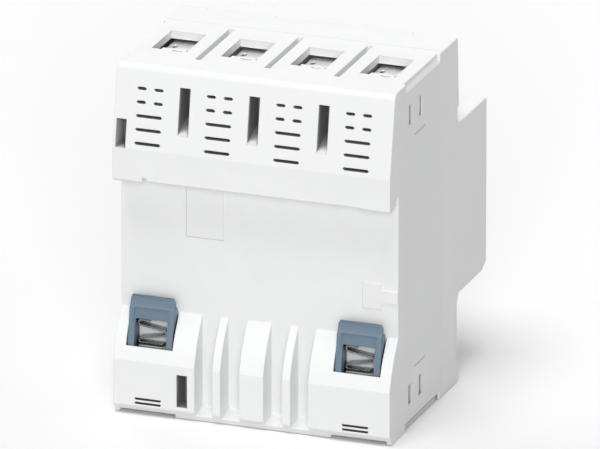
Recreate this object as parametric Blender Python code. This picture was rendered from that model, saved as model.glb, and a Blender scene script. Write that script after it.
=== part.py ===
"""Four-pole residual current circuit breaker for a 35 mm rail, in metres, +Z up.

The operating face looks along -Y and the rail side along +Y. The origin is the
middle of the bottom. Depths are measured from the rearmost face towards the
operating face, as such breakers are dimensioned, and turned into Y by y_of.
"""
import math

import bmesh
import bpy
from mathutils import Matrix, Vector

MM = 0.001

# Outer envelope
POLES = 4
MODULE = 18.0 * MM
WIDTH = POLES * MODULE
HEIGHT = 90.0 * MM
CENTRE_Z = HEIGHT / 2
RAIL_SEAT = 6.05 * MM
SHOULDER = 49.6 * MM
NOSE = 70.0 * MM
NOSE_BOTTOM = CENTRE_Z - 21.8 * MM
NOSE_TOP = CENTRE_Z + 22.6 * MM
PARTING = 37.5 * MM
WALL = 2.0 * MM

# Clearances
SEAM = 0.3 * MM
FIT = 0.3 * MM
RUNNING = 0.2 * MM
OVERCUT = 1.0 * MM

# Rear form above and below the rail
RAIL_WIDTH = 35.0 * MM
RAIL_PLAY = 0.3 * MM
LIP_HEIGHT = CENTRE_Z + 15.3 * MM
LIP_MIDDLE_STEP = 0.85 * MM
LIP_END_WIDTH = 7.7 * MM
LIP_THICKNESS = 4.3 * MM
LIP_EDGE = 0.7 * MM
LIP_SLOPE = 0.9 * MM
FOLD_HEIGHT = CENTRE_Z + 24.1 * MM
LEAN = 3.4 * MM
TOP_ROUND = 1.9 * MM
BLOCK_TOP = CENTRE_Z - 18.8 * MM
BLOCK_FOLD = 14.1 * MM
BLOCK_BULGE = 0.9 * MM
BOTTOM_CHAMFER = 1.5 * MM
CHAMFER_RETURN = 0.3 * MM
SIDE_BLOCK = 21.2 * MM
THIN_RIB = 2.1 * MM
THIN_RIB_OFFSET = 9.1 * MM
CENTRE_RIB = 6.3 * MM
LEDGE_HEIGHT = 2.4 * MM
LEDGE_SLOPE = 1.2 * MM
FOOT_STEP = 1.0 * MM
FOOT_MIDDLE = 40.6 * MM
FOOT_SKIRT = 1.3 * MM
LIP_NOTCH_WIDTH = 1.2 * MM
LIP_NOTCH_HEIGHT = 0.8 * MM
LIP_NOTCH_DEPTH = 1.4 * MM
FLOOR_PAD = 0.15 * MM
FLOOR_PAD_LEFT = 17.0 * MM
FLOOR_PAD_RIGHT = 26.8 * MM
FLOOR_PAD_BOTTOM = CENTRE_Z + 1.0 * MM
TAB_PAD = 0.3 * MM
TAB_PAD_LEFT = 9.2 * MM
TAB_PAD_MIDDLE = 4.3 * MM
TAB_PAD_BOTTOM = CENTRE_Z - 11.7 * MM
TAB_PAD_TOP = CENTRE_Z - 5.0 * MM
TAB_PAD_STEP = 1.7 * MM

# Slots and vents
VENT_HEIGHT = 0.8 * MM
VENT_PITCH = 3.35 * MM
VENT_BOTTOM = CENTRE_Z + 25.6 * MM
VENT_LONG_ROWS = 3
VENT_SHORT_ROWS = 2
VENT_LONG = 6.8 * MM
VENT_SHORT = 2.5 * MM
VENT_SHORT_OFFSET = 2.2 * MM
TALL_SLOT_WIDTH = 2.7 * MM
TALL_SLOT_BOTTOM = CENTRE_Z + 28.6 * MM
TALL_SLOT_TOP = HEIGHT - 4.7 * MM
TALL_SLOT_DEPTH = 9.0 * MM
TALL_SLOT_SLOPE = 3.0 * MM
EDGE_SLOT_INSET = 0.7 * MM
EDGE_SLOT_WIDTH = 2.6 * MM
EDGE_SLOT_BOTTOM = CENTRE_Z + 24.0 * MM
EDGE_SLOT_TOP = CENTRE_Z + 31.2 * MM
EDGE_SLOT_DEPTH = 1.7 * MM
FOOT_SLOT_INSET = 17.9 * MM
FOOT_SLOT_BOTTOM = 3.4 * MM
FOOT_SLOT_TOP = 11.8 * MM
PRY_SLOT_WIDTH = 6.7 * MM
PRY_SLOT_HEIGHT = 0.6 * MM
PRY_SLOT_PITCH = 1.1 * MM
PRY_SLOT_CENTRE = 3.8 * MM
GROOVE_WIDTH = 1.5 * MM
GROOVE_NEAR = 11.5 * MM
GROOVE_FAR = 35.7 * MM
GROOVE_DEPTH = 2.4 * MM
RIM_GROOVE_ROOT = 1.1 * MM
RIM_GROOVE_LIP = 3.8 * MM

# Front shell
SHOULDER_HOLLOW = 0.9 * MM
UPPER_BAND_TOP = 6.4 * MM
UPPER_BAND_BOTTOM = 4.6 * MM
UPPER_BAND_SLOPE = 0.3 * MM
SHOULDER_RECESS = 1.3 * MM
NOSE_ROOT = 0.4 * MM
NOSE_EDGE = 0.5 * MM
NOSE_SLOPE_HEIGHT = 1.6 * MM
NOSE_SLOPE_DEPTH = 3.2 * MM
LOWER_BAND_TOP = 7.0 * MM
LOWER_BAND_BOTTOM = 4.0 * MM
SHOULDER_EDGE = 1.0 * MM
SHOULDER_STEP = 2.0 * MM
MARKER_NOTCH_WIDTH = 5.0 * MM
MARKER_NOTCH_DEPTH = 1.7 * MM
MARKER_NOTCH_HEIGHT = 0.5 * MM
RIB = 1.4 * MM
SHELF_WIDTH = 8.0 * MM
GUIDE_HEIGHT = 8.0 * MM

# Snap joint between base and cover
TONGUE_THICKNESS = 1.2 * MM
TONGUE_INSET = 1.2 * MM
TONGUE_HEIGHT = 8.0 * MM
TONGUE_CENTRE = 8.8 * MM
TONGUE_REACH = 17.5 * MM
WINDOW_HEIGHT = 5.2 * MM
LOCK_WINDOW = 2.5 * MM
LOCK_WINDOW_DEPTH = 14.9 * MM
HOOK_WINDOW = 2.2 * MM
HOOK_WINDOW_DEPTH = 22.0 * MM
HOOK_LENGTH = 1.3 * MM
HOOK_HEIGHT = 0.7 * MM
TONGUE_LINE_WIDTH = 0.4 * MM
TONGUE_LINE_LENGTH = 8.0 * MM
TONGUE_LINE_HEIGHT = 14.9 * MM

# Terminals
CHAMBER_WIDTH = 13.4 * MM
CHAMBER_HEIGHT = 14.5 * MM
SHELF = 1.5 * MM
ENTRY_WIDTH = 9.2 * MM
ENTRY_NEAR = 15.7 * MM
ENTRY_FAR = 29.4 * MM
TAB_LEFT = 2.0 * MM
TAB_RIGHT = 4.3 * MM
TAB_REACH = 1.4 * MM
TAB_THICKNESS = 1.0 * MM
SCOOP_OFFSET = 2.1 * MM
SCOOP_WIDTH = 2.6 * MM
SCOOP_THICKNESS = 0.5 * MM
SCOOP_RADIUS = 2.2 * MM
SCOOP_DEPTH = 0.6 * MM
SCOOP_SETBACK = 0.5 * MM
CLAMP_WIDTH = 11.0 * MM
CLAMP_HEIGHT = 11.0 * MM
CLAMP_SIDE = 1.2 * MM
CLAMP_REAR = 1.5 * MM
CLAMP_FRONT = 2.2 * MM
CLAMP_NEAR = 13.6 * MM
CLAMP_FAR = 34.0 * MM
TERMINAL_Z = 9.6 * MM
STRAP_WIDTH = 8.0 * MM
STRAP_THICKNESS = 1.4 * MM
STRAP_DEPTH = 27.6 * MM
STRAP_END_GAP = 0.8 * MM
STRAP_FLANGE = 3.6 * MM
CONTACT_MARGIN = 1.5 * MM
SCREW_RADIUS = 2.5 * MM
SCREW_HEAD_RADIUS = 3.7 * MM
SCREW_HEAD = 2.8 * MM
SCREW_HOLE_RADIUS = 3.4 * MM
SCREW_SLOT = 1.0 * MM
SCREW_SLOT_DEPTH = 1.3 * MM
SCREW_CHAMFER = 0.5 * MM
SCREW_SETBACK = 1.0 * MM
SCREW_SIDES = 20

# Contacts and their carrier
PIVOT_DEPTH = 24.4 * MM
ARM_REACH = 16.0 * MM
ARM_WIDTH = 4.4 * MM
ARM_THICKNESS = 1.4 * MM
ARM_FOOT = 5.0 * MM
CONTACT_RADIUS = 1.9 * MM
CONTACT_HEIGHT = 1.2 * MM
CONTACT_TOUCH = 0.08 * MM
CONTACT_CHAMFER = 0.4 * MM
CONTACT_CROWN = 0.3 * MM
CARRIER_SIZE = 7.0 * MM
CARRIER_CHAMFER = 1.2 * MM
JOURNAL_RADIUS = 2.0 * MM
BEARING_RIB = 1.8 * MM
BEARING_RIB_HEIGHT = 10.0 * MM
SWING = 14.0

# Toggle and its crank
TOGGLE_X = 9.0 * MM
TOGGLE_SWING = 65.0
AXIS_DISTANCE = 36.0 * MM
CRANK_RADIUS = 6.7 * MM
CRANK_PIN_RADIUS = 1.2 * MM
CRANK_PLAY = 0.4 * MM
CRANK_ARM_WIDTH = 3.0 * MM
TINE = 1.4 * MM
FORK_LENGTH = 6.0 * MM
FORK_TIP = 1.6 * MM
DRUM_RADIUS = 9.0 * MM
DRUM_WIDTH = 13.0 * MM
DRUM_POCKET = 3.2 * MM
DRUM_RIM = 0.5 * MM
CRANK_PIN_GRIP = 1.0 * MM
LEVER_REACH = 18.5 * MM
LEVER_ROOT = 5.0 * MM
LEVER_TIP = 3.6 * MM
TOGGLE_SHAFT_RADIUS = 1.5 * MM
PLATE = 1.2 * MM
PLATE_HEIGHT = 15.2 * MM
PLATE_GAP = 0.45 * MM
PLATE_WINDOW_MARGIN = 1.0 * MM
GUIDE_OFFSET = 0.9 * MM
GUIDE_SETBACK = 5.0 * MM
FRAME_NEAR = 45.5 * MM
FRAME_FAR = 64.0 * MM

# Opening spring under the crank
OPENING_SPRING_DEPTH = 42.3 * MM
OPENING_SPRING_RADIUS = 2.3 * MM
OPENING_SPRING_FOOT = CENTRE_Z - 14.0 * MM
OPENING_SPRING_TURNS = 5
SPRING_WIRE = 0.35 * MM

# Test button and indicator
BUTTON_X = -16.0 * MM
BUTTON_RADIUS = 3.2 * MM
BUTTON_FLANGE = 1.0 * MM
BUTTON_STEM_RADIUS = 1.3 * MM
BUTTON_EDGE = 0.5 * MM
BUTTON_END_PLAY = 0.1 * MM
BUTTON_PROUD = 1.0 * MM
BUTTON_TRAVEL = 2.0 * MM
BUTTON_SPRING_RADIUS = 2.2 * MM
BUTTON_SPRING_LENGTH = 6.0 * MM
BUTTON_SPRING_TURNS = 4
TEST_STRIP_WIDTH = 8.6 * MM
TEST_STRIP_THICKNESS = 0.8 * MM
TEST_STRIP_UP = 4.0 * MM
TEST_STRIP_DOWN = 12.0 * MM
RESISTOR_RADIUS = 1.8 * MM
RESISTOR_HALF = 4.0 * MM
RESISTOR_ROUND = 0.6 * MM
RESISTOR_DROP = 9.0 * MM
INDICATOR_X = -4.6 * MM
INDICATOR_WIDTH = 6.0 * MM
INDICATOR_HEIGHT = 4.4 * MM
INDICATOR_TRAVEL = 4.0 * MM
FLAG_THICKNESS = 1.0 * MM
WINDOW_PLAY = 0.1 * MM
WINDOW_RECESS = 0.3 * MM

# Summation transformer and trip relay
CORE_INNER = 8.6 * MM
CORE_OUTER = 13.8 * MM
CORE_HEIGHT = 8.0 * MM
CORE_Z = CENTRE_Z - 16.0 * MM
WINDING_THICKNESS = 1.0 * MM
WINDING_RIDGE = 0.35 * MM
WINDING_TURNS = 30
WINDING_SPAN = 320.0
CORE_SIDES = 40
WIRE_RADIUS = 1.4 * MM
WIRE_BUNDLE = 2.2 * MM
WIRE_ASIDE = 3.4 * MM
WIRE_INNER_TURN = 5.5 * MM
WIRE_OUTER_TURN = 0.5
WIRE_FLARE = 1.2 * MM
WIRE_EASE = 0.5 * MM
STRAP_OVER_WIRE = 1.4 * MM
RELAY_X = 25.0 * MM
RELAY_WIDTH = 13.5 * MM
RELAY_BOTTOM = CENTRE_Z - 22.0 * MM
RELAY_TOP = CENTRE_Z - 10.0 * MM
PLUNGER_RADIUS = 1.2 * MM
PLUNGER_TOP = CENTRE_Z - 5.4 * MM
PLUNGER_ROOT = 4.0 * MM
PLUNGER_CHAMFER = 0.3 * MM
TRIP_PIVOT_DEPTH = 36.0 * MM
TRIP_REACH = 5.8 * MM
TRIP_EAR_MARGIN = 1.0 * MM
PLUNGER_DEPTH = TRIP_PIVOT_DEPTH - TRIP_REACH
RELAY_FAR = TRIP_PIVOT_DEPTH + TRIP_EAR_MARGIN
TRIP_PIVOT_Z = CENTRE_Z - 4.6 * MM
TRIP_PIN_RADIUS = 1.0 * MM
TRIP_BARREL_RADIUS = 1.9 * MM
TRIP_EAR = 1.4 * MM
TRIP_EAR_RISE = 2.0 * MM
TRIP_ARM = 1.4 * MM
TRIP_ARM_WIDTH = 3.0 * MM
TRIP_ARM_OVERLAP = 1.0 * MM
TRIP_FINGER_WIDTH = 2.0 * MM
TRIP_FINGER_RISE = 7.0 * MM

# Circuit board
BOARD_THICKNESS = 1.6 * MM
BOARD_SIDE_GAP = 2.0 * MM
BOARD_FRONT_GAP = 1.0 * MM

# Rail latch and its leaf spring
LATCH_WIDTH = 11.6 * MM
LATCH_TOP = CENTRE_Z - 15.1 * MM
LATCH_BOTTOM = 7.0 * MM
LATCH_FACE = 1.7 * MM
LATCH_LEAN = 1.7 * MM
LATCH_EAR = 0.9 * MM
LATCH_EAR_TOP = CENTRE_Z - 29.4 * MM
LATCH_SIDE = 1.6 * MM
LATCH_WINDOW_BOTTOM = CENTRE_Z - 29.1 * MM
LATCH_WINDOW_TOP = CENTRE_Z - 20.8 * MM
LATCH_FLANGE = 1.2 * MM
LATCH_TIP = 0.35 * MM
LATCH_RAMP = 2.8 * MM
LATCH_PANEL = 0.35 * MM
LATCH_PANEL_SIDE = 1.3 * MM
LATCH_EAR_HEIGHT = 5.0 * MM
LATCH_EAR_RECESS = 0.4 * MM
OPENING_BOTTOM = CENTRE_Z - 27.5 * MM
CHANNEL_BOTTOM = 2.7 * MM
POST_HEIGHT = 1.0 * MM
POST_LENGTH = 2.6 * MM
POST_SIDE_GAP = 0.5 * MM
LEAF_THICKNESS = 0.45 * MM
LEAF_WIDTH = 2.2 * MM
LEAF_STRANDS = 3


# Places worked out from the sizes
HALF = WIDTH / 2
TOGGLE_AXIS = PIVOT_DEPTH + AXIS_DISTANCE
TOGGLE_REST = math.radians(TOGGLE_SWING / 2)
CARRIER_REST = math.radians(SWING / 2)
TOGGLE_TIP = TOGGLE_AXIS + LEVER_REACH * math.cos(TOGGLE_REST) + LEVER_TIP / 2 * math.sin(TOGGLE_REST)
REAR_Y = TOGGLE_TIP / 2
CRANK_ARM = AXIS_DISTANCE - CRANK_RADIUS
RAIL_LOW = CENTRE_Z - RAIL_WIDTH / 2
RAIL_HIGH = CENTRE_Z + RAIL_WIDTH / 2
CONTACT_Z = CENTRE_Z + ARM_REACH
SCREW_HEAD_DEPTH = SHOULDER - WALL - FIT - SCREW_HEAD - SCREW_SETBACK


def y_of(depth):
    """World Y of a depth measured from the rearmost face."""
    return REAR_Y - depth


def pole_x(index):
    """Centre of one pole, counted from -X."""
    return (index - (POLES - 1) / 2) * MODULE


def borders():
    """X of the planes between neighbouring poles."""
    return [pole_x(index) + MODULE / 2 for index in range(POLES - 1)]


def latch_x(side):
    """Centre of a latch, in the middle of an outer module."""
    return side * (HALF - MODULE / 2)


def rear_face(height):
    """Depth of the leaning upper rear face at a height."""
    return LEAN * max(0.0, height - FOLD_HEIGHT) / (HEIGHT - TOP_ROUND - FOLD_HEIGHT)


def latch_face(height):
    """Depth of the latch's leaning outer face at a height."""
    return LATCH_FACE + LATCH_LEAN * (height - OPENING_BOTTOM) / (LATCH_TOP - OPENING_BOTTOM)


def test_seat():
    """Depth of the test strip's face, on which the button's spring rests."""
    flange = NOSE - WALL - FIT - BUTTON_FLANGE
    return flange - 2 * FIT - 2 * SPRING_WIRE - BUTTON_SPRING_LENGTH


def clear_scene():
    """Remove everything that the file opened with."""
    for item in list(bpy.data.objects):
        bpy.data.objects.remove(item, do_unlink=True)


def make_material(name, colour, roughness, metallic=0.0, transmission=0.0):
    """Plain Principled material with a viewport colour to match."""
    material = bpy.data.materials.new(name)
    material.use_nodes = True
    shader = material.node_tree.nodes["Principled BSDF"]
    shader.inputs["Base Color"].default_value = (*colour, 1.0)
    shader.inputs["Roughness"].default_value = roughness
    shader.inputs["Metallic"].default_value = metallic
    shader.inputs["Transmission Weight"].default_value = transmission
    material.diffuse_color = (*colour, 1.0)
    return material


def add_prism(mesh, outline, axis, start, end):
    """Extrude an outline along X, Y (given as depth) or Z, and cap both ends.

    An outline across X holds (depth, z), across Y (x, z) and across Z (x, depth).
    """
    def place(point, along):
        if axis == "X":
            return Vector((along, y_of(point[0]), point[1]))
        if axis == "Y":
            return Vector((point[0], y_of(along), point[1]))
        return Vector((point[0], y_of(point[1]), along))

    near = [mesh.verts.new(place(point, start)) for point in outline]
    far = [mesh.verts.new(place(point, end)) for point in outline]
    count = len(outline)
    faces = [mesh.faces.new(near), mesh.faces.new(far[::-1])]
    for index in range(count):
        after = (index + 1) % count
        faces.append(mesh.faces.new((near[after], near[index], far[index], far[after])))
    bmesh.ops.recalc_face_normals(mesh, faces=faces)
    return faces


def add_box(mesh, x_range, depth_range, z_range):
    """Closed box between two X values, two depths and two heights."""
    (left, right), (near, far) = x_range, depth_range
    outline = [(left, near), (right, near), (right, far), (left, far)]
    return add_prism(mesh, outline, "Z", z_range[0], z_range[1])


def arc(centre, radius, start, end, steps):
    """Points on a circle, angles in degrees."""
    points = []
    for step in range(steps + 1):
        angle = math.radians(start + (end - start) * step / steps)
        points.append((centre[0] + radius * math.cos(angle), centre[1] + radius * math.sin(angle)))
    return points


def circle(centre, radius, segments=24):
    """Closed ring of points without a doubled end."""
    return arc(centre, radius, 0.0, 360.0, segments)[:-1]


def stadium(centre_x, centre_z, width, height, steps=4):
    """Slot outline with round ends in the XZ plane."""
    radius = height / 2
    reach = width / 2 - radius
    return (arc((centre_x + reach, centre_z), radius, -90, 90, steps)
            + arc((centre_x - reach, centre_z), radius, 90, 270, steps))


def add_lathe(mesh, profile, centre, axis, segments=24):
    """Turn (radius, along) points about an axis through centre, and close the ends."""
    turns = {"X": Matrix.Rotation(math.radians(90), 4, "Y"),
             "Y": Matrix.Rotation(math.radians(90), 4, "X"),
             "Z": Matrix.Identity(4)}
    rings = []
    for radius, along in profile:
        ring = [mesh.verts.new((px, py, along)) for px, py in circle((0, 0), radius, segments)]
        rings.append(ring)
    faces = [mesh.faces.new(rings[0][::-1]), mesh.faces.new(rings[-1])]
    for low, high in zip(rings, rings[1:]):
        for index in range(segments):
            after = (index + 1) % segments
            faces.append(mesh.faces.new((low[index], low[after], high[after], high[index])))
    verts = [vert for ring in rings for vert in ring]
    bmesh.ops.transform(mesh, matrix=Matrix.Translation(centre) @ turns[axis], verts=verts)
    bmesh.ops.recalc_face_normals(mesh, faces=faces)
    return faces


def finish_object(name, mesh, material, origin=(0, 0, 0)):
    """Turn a bmesh in world space into an object whose origin is at the given point."""
    bmesh.ops.translate(mesh, verts=mesh.verts, vec=-Vector(origin))
    data = bpy.data.meshes.new(name)
    mesh.to_mesh(data)
    mesh.free()
    if material:
        data.materials.append(material)
    item = bpy.data.objects.new(name, data)
    item.location = origin
    bpy.context.collection.objects.link(item)
    return item


def copy_object(item, name, offset):
    """Second object that shares the mesh of the first, moved by an offset."""
    copy = item.copy()
    copy.name = name
    copy.location = item.location + Vector(offset)
    bpy.context.collection.objects.link(copy)
    return copy


def boolean(item, mesh, operation, name):
    """Cut, or join, the shapes of a bmesh with an object, exactly."""
    tool = finish_object(name, mesh, None)
    tool.hide_render = True
    tool.display_type = "WIRE"
    modifier = item.modifiers.new(name, "BOOLEAN")
    modifier.operation = operation
    modifier.object = tool
    modifier.solver = "EXACT"
    modifier.use_self = True
    return tool


def smooth_rounds(item, angle=35.0):
    """Shade a turned or bent piece smooth, with its true edges kept sharp."""
    item.data.shade_smooth()
    item.data.set_sharp_from_angle(angle=math.radians(angle))


def make_axis(name, location, angle_x=0.0):
    """Empty that carries the pieces of one moving body."""
    empty = bpy.data.objects.new(name, None)
    empty.location = location
    empty.rotation_euler = (angle_x, 0.0, 0.0)
    bpy.context.collection.objects.link(empty)
    return empty


def hang_on(empty, item):
    """Parent an object, modelled with its origin on the empty's point, to the empty."""
    item.parent = empty
    item.location = (0.0, 0.0, 0.0)


# Housing

def base_outline():
    """Side section of the rear shell, as (depth, z), from the top front round the rear."""
    top = HEIGHT - TOP_ROUND
    outline = [(PARTING, HEIGHT)]
    outline += arc((LEAN + TOP_ROUND, top), TOP_ROUND, 90, 170, 4)
    outline += [(0.0, FOLD_HEIGHT)]
    outline += [(0.0, LIP_HEIGHT + LIP_EDGE), (LIP_EDGE, LIP_HEIGHT)]
    outline += [(LIP_THICKNESS, LIP_HEIGHT + LIP_SLOPE), (LIP_THICKNESS, RAIL_HIGH + RAIL_PLAY)]
    outline += [(RAIL_SEAT, RAIL_HIGH + RAIL_PLAY), (RAIL_SEAT, BLOCK_TOP)]
    for step in range(1, 6):
        share = step / 6
        swell = BLOCK_BULGE * math.sin(math.pi * share)
        outline.append((RAIL_SEAT * (1 - share) - swell, BLOCK_TOP + (BLOCK_FOLD - BLOCK_TOP) * share))
    outline += [(0.0, BLOCK_FOLD), (0.0, BOTTOM_CHAMFER + FOOT_STEP)]
    outline += [(BOTTOM_CHAMFER - CHAMFER_RETURN, FOOT_STEP), (BOTTOM_CHAMFER, 0.0), (PARTING, 0.0)]
    return outline


def upper_hollow_outline():
    """Inner section of the upper rear, kept one wall inside the leaning face."""
    floor = RAIL_HIGH + RAIL_PLAY + WALL
    ceiling = HEIGHT - WALL
    return [(PARTING + OVERCUT, ceiling), (WALL + rear_face(ceiling), ceiling), (WALL, FOLD_HEIGHT),
            (WALL, floor), (PARTING + OVERCUT, floor)]


def cut_interior(base):
    """Hollow the base: a middle room, and a terminal chamber for each pole above and below."""
    back = RAIL_SEAT + WALL
    rooms = bmesh.new()
    inner = HALF - WALL
    low = WALL + CHAMBER_HEIGHT + SHELF
    add_box(rooms, (-inner, inner), (back, PARTING + OVERCUT), (low, HEIGHT - low))
    for index in range(POLES):
        sides = (pole_x(index) - CHAMBER_WIDTH / 2, pole_x(index) + CHAMBER_WIDTH / 2)
        add_box(rooms, sides, (back, PARTING + OVERCUT), (WALL, WALL + CHAMBER_HEIGHT))
    boolean(base, rooms, "DIFFERENCE", "cut_rooms")
    upper = bmesh.new()
    shelf_top = HEIGHT - WALL - CHAMBER_HEIGHT
    for index in range(POLES):
        left = pole_x(index) - CHAMBER_WIDTH / 2
        add_prism(upper, upper_hollow_outline(), "X", left, left + CHAMBER_WIDTH)
    boolean(base, upper, "DIFFERENCE", "cut_upper_chambers")
    shelves = bmesh.new()
    for index in range(POLES):
        left = pole_x(index) - CHAMBER_WIDTH / 2 - OVERCUT
        right = pole_x(index) + CHAMBER_WIDTH / 2 + OVERCUT
        add_box(shelves, (left, right), (back - OVERCUT, PARTING), (shelf_top - SHELF, shelf_top))
    boolean(base, shelves, "UNION", "add_shelves")


def cut_ribs(base):
    """Open the four bays between the blocks and ribs under the rail."""
    bays = bmesh.new()
    inner_edge = CENTRE_RIB / 2
    thin_near = THIN_RIB_OFFSET - THIN_RIB / 2
    thin_far = THIN_RIB_OFFSET + THIN_RIB / 2
    block_edge = HALF - SIDE_BLOCK
    for side in (-1, 1):
        for near, far in ((inner_edge, thin_near), (thin_far, block_edge)):
            sides = sorted((side * near, side * far))
            outline = [(-OVERCUT, LEDGE_HEIGHT - LEDGE_SLOPE), (RAIL_SEAT, LEDGE_HEIGHT),
                       (RAIL_SEAT, BLOCK_TOP + OVERCUT), (-OVERCUT, BLOCK_TOP + OVERCUT)]
            add_prism(bays, outline, "X", sides[0], sides[1])
    boolean(base, bays, "DIFFERENCE", "cut_bays")


def add_floor_pads(base):
    """Thin raised areas that the mould leaves on the floor of the rail groove."""
    pads = bmesh.new()
    rooted = RAIL_SEAT + WALL / 2
    add_box(pads, (HALF - FLOOR_PAD_RIGHT, HALF - FLOOR_PAD_LEFT), (RAIL_SEAT - FLOOR_PAD, rooted),
            (FLOOR_PAD_BOTTOM, RAIL_HIGH))
    split = TAB_PAD_MIDDLE - HALF
    depths = (RAIL_SEAT - TAB_PAD, rooted)
    add_box(pads, (split, TAB_PAD_LEFT - HALF), depths, (TAB_PAD_BOTTOM, TAB_PAD_TOP))
    add_box(pads, (-HALF, split + OVERCUT), depths,
            (TAB_PAD_BOTTOM + TAB_PAD_STEP, TAB_PAD_TOP - TAB_PAD_STEP))
    boolean(base, pads, "UNION", "add_pads")


def cut_latch_channels(base):
    """Channel for each latch, with a wide lower end that stops its ears."""
    channels = bmesh.new()
    for side in (-1, 1):
        middle = latch_x(side)
        narrow = (middle - LATCH_WIDTH / 2 - FIT, middle + LATCH_WIDTH / 2 + FIT)
        wide = (narrow[0] - LATCH_EAR, narrow[1] + LATCH_EAR)
        behind = LATCH_FACE - FIT
        add_box(channels, narrow, (-OVERCUT, RAIL_SEAT), (OPENING_BOTTOM, BLOCK_TOP + OVERCUT))
        add_box(channels, narrow, (behind, RAIL_SEAT), (LATCH_BOTTOM, OPENING_BOTTOM + OVERCUT))
        add_box(channels, wide, (behind, RAIL_SEAT), (CHANNEL_BOTTOM, LATCH_EAR_TOP + FIT))
    boolean(base, channels, "DIFFERENCE", "cut_channels")
    posts = bmesh.new()
    for side in (-1, 1):
        middle = latch_x(side)
        reach = LATCH_WIDTH / 2 - LATCH_SIDE - POST_SIDE_GAP
        top = LATCH_WINDOW_BOTTOM + FIT + POST_HEIGHT
        add_box(posts, (middle - reach, middle + reach), (RAIL_SEAT - POST_LENGTH, RAIL_SEAT + WALL / 2),
                (top - POST_HEIGHT, top))
    boolean(base, posts, "UNION", "add_posts")


def cut_vents(base):
    """Vent group of each pole: long slots below, pairs of short ones above."""
    vents = bmesh.new()
    for index in range(POLES):
        for row in range(VENT_LONG_ROWS + VENT_SHORT_ROWS):
            height = VENT_BOTTOM + row * VENT_PITCH
            if row < VENT_LONG_ROWS:
                places = [(pole_x(index), VENT_LONG)]
            else:
                places = [(pole_x(index) + side * VENT_SHORT_OFFSET, VENT_SHORT) for side in (-1, 1)]
            for centre, width in places:
                slot = stadium(centre, height, width, VENT_HEIGHT, 2)
                add_prism(vents, slot, "Y", -OVERCUT, RAIL_SEAT + WALL - OVERCUT)
    boolean(base, vents, "DIFFERENCE", "cut_vents")


def cut_slots(base):
    """Blind slots of the rear: three tall ones, one at the edge, one low, and the pry slots."""
    slots = bmesh.new()
    for border in borders():
        sides = (border - TALL_SLOT_WIDTH / 2, border + TALL_SLOT_WIDTH / 2)
        outline = [(-OVERCUT, TALL_SLOT_BOTTOM), (rear_face(TALL_SLOT_BOTTOM), TALL_SLOT_BOTTOM),
                   (TALL_SLOT_DEPTH, TALL_SLOT_BOTTOM + TALL_SLOT_SLOPE), (TALL_SLOT_DEPTH, TALL_SLOT_TOP),
                   (-OVERCUT, TALL_SLOT_TOP)]
        add_prism(slots, outline, "X", sides[0], sides[1])
    edge = HALF - EDGE_SLOT_INSET
    add_box(slots, (edge - EDGE_SLOT_WIDTH, edge), (-OVERCUT, EDGE_SLOT_DEPTH),
            (EDGE_SLOT_BOTTOM, EDGE_SLOT_TOP))
    foot = HALF - FOOT_SLOT_INSET
    add_box(slots, (foot - TALL_SLOT_WIDTH / 2, foot + TALL_SLOT_WIDTH / 2), (-OVERCUT, RAIL_SEAT),
            (FOOT_SLOT_BOTTOM, FOOT_SLOT_TOP))
    for side in (-1, 1):
        middle = latch_x(side)
        sides = (middle - PRY_SLOT_WIDTH / 2, middle + PRY_SLOT_WIDTH / 2)
        for step in (-0.5, 0.5):
            low = PRY_SLOT_CENTRE + step * PRY_SLOT_PITCH - PRY_SLOT_HEIGHT / 2
            add_box(slots, sides, (-OVERCUT, LATCH_FACE + OVERCUT), (low, low + PRY_SLOT_HEIGHT))
    boolean(base, slots, "DIFFERENCE", "cut_slots")


def cut_edges(base):
    """Step in the rail lip, raised bottom under the latches, grooves at the module borders."""
    edges = bmesh.new()
    middle = HALF - LIP_END_WIDTH
    add_box(edges, (-middle, middle), (-OVERCUT, LIP_THICKNESS),
            (LIP_HEIGHT - OVERCUT, LIP_HEIGHT + LIP_MIDDLE_STEP))
    for side in (-1, 1):
        sides = sorted((side * (FOOT_MIDDLE / 2), side * (HALF - FOOT_SKIRT)))
        add_box(edges, sides, (-OVERCUT, GROOVE_NEAR), (-OVERCUT, FOOT_STEP))
    notch_top = LIP_HEIGHT + LIP_MIDDLE_STEP + LIP_NOTCH_HEIGHT
    add_box(edges, (middle - LIP_NOTCH_WIDTH, middle), (-OVERCUT, LIP_NOTCH_DEPTH),
            (LIP_HEIGHT - OVERCUT, notch_top))
    boolean(base, edges, "DIFFERENCE", "cut_edges")
    grooves = bmesh.new()
    for border in borders():
        sides = (border - GROOVE_WIDTH / 2, border + GROOVE_WIDTH / 2)
        add_box(grooves, sides, (GROOVE_NEAR, GROOVE_FAR), (HEIGHT - GROOVE_DEPTH, HEIGHT + OVERCUT))
        add_box(grooves, sides, (GROOVE_NEAR, GROOVE_FAR), (-OVERCUT, GROOVE_DEPTH))
    for side in (-1, 1):
        root = side * (HALF - GROOVE_WIDTH / 2)
        rim = side * (HALF + OVERCUT)
        for z_edge, inward in ((HEIGHT, -1), (0.0, 1)):
            outline = [(root, z_edge - inward * OVERCUT), (root, z_edge + inward * RIM_GROOVE_ROOT),
                       (rim, z_edge + inward * RIM_GROOVE_LIP), (rim, z_edge - inward * OVERCUT)]
            add_prism(grooves, outline, "Y", GROOVE_NEAR, GROOVE_FAR)
    boolean(base, grooves, "DIFFERENCE", "cut_grooves")


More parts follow.
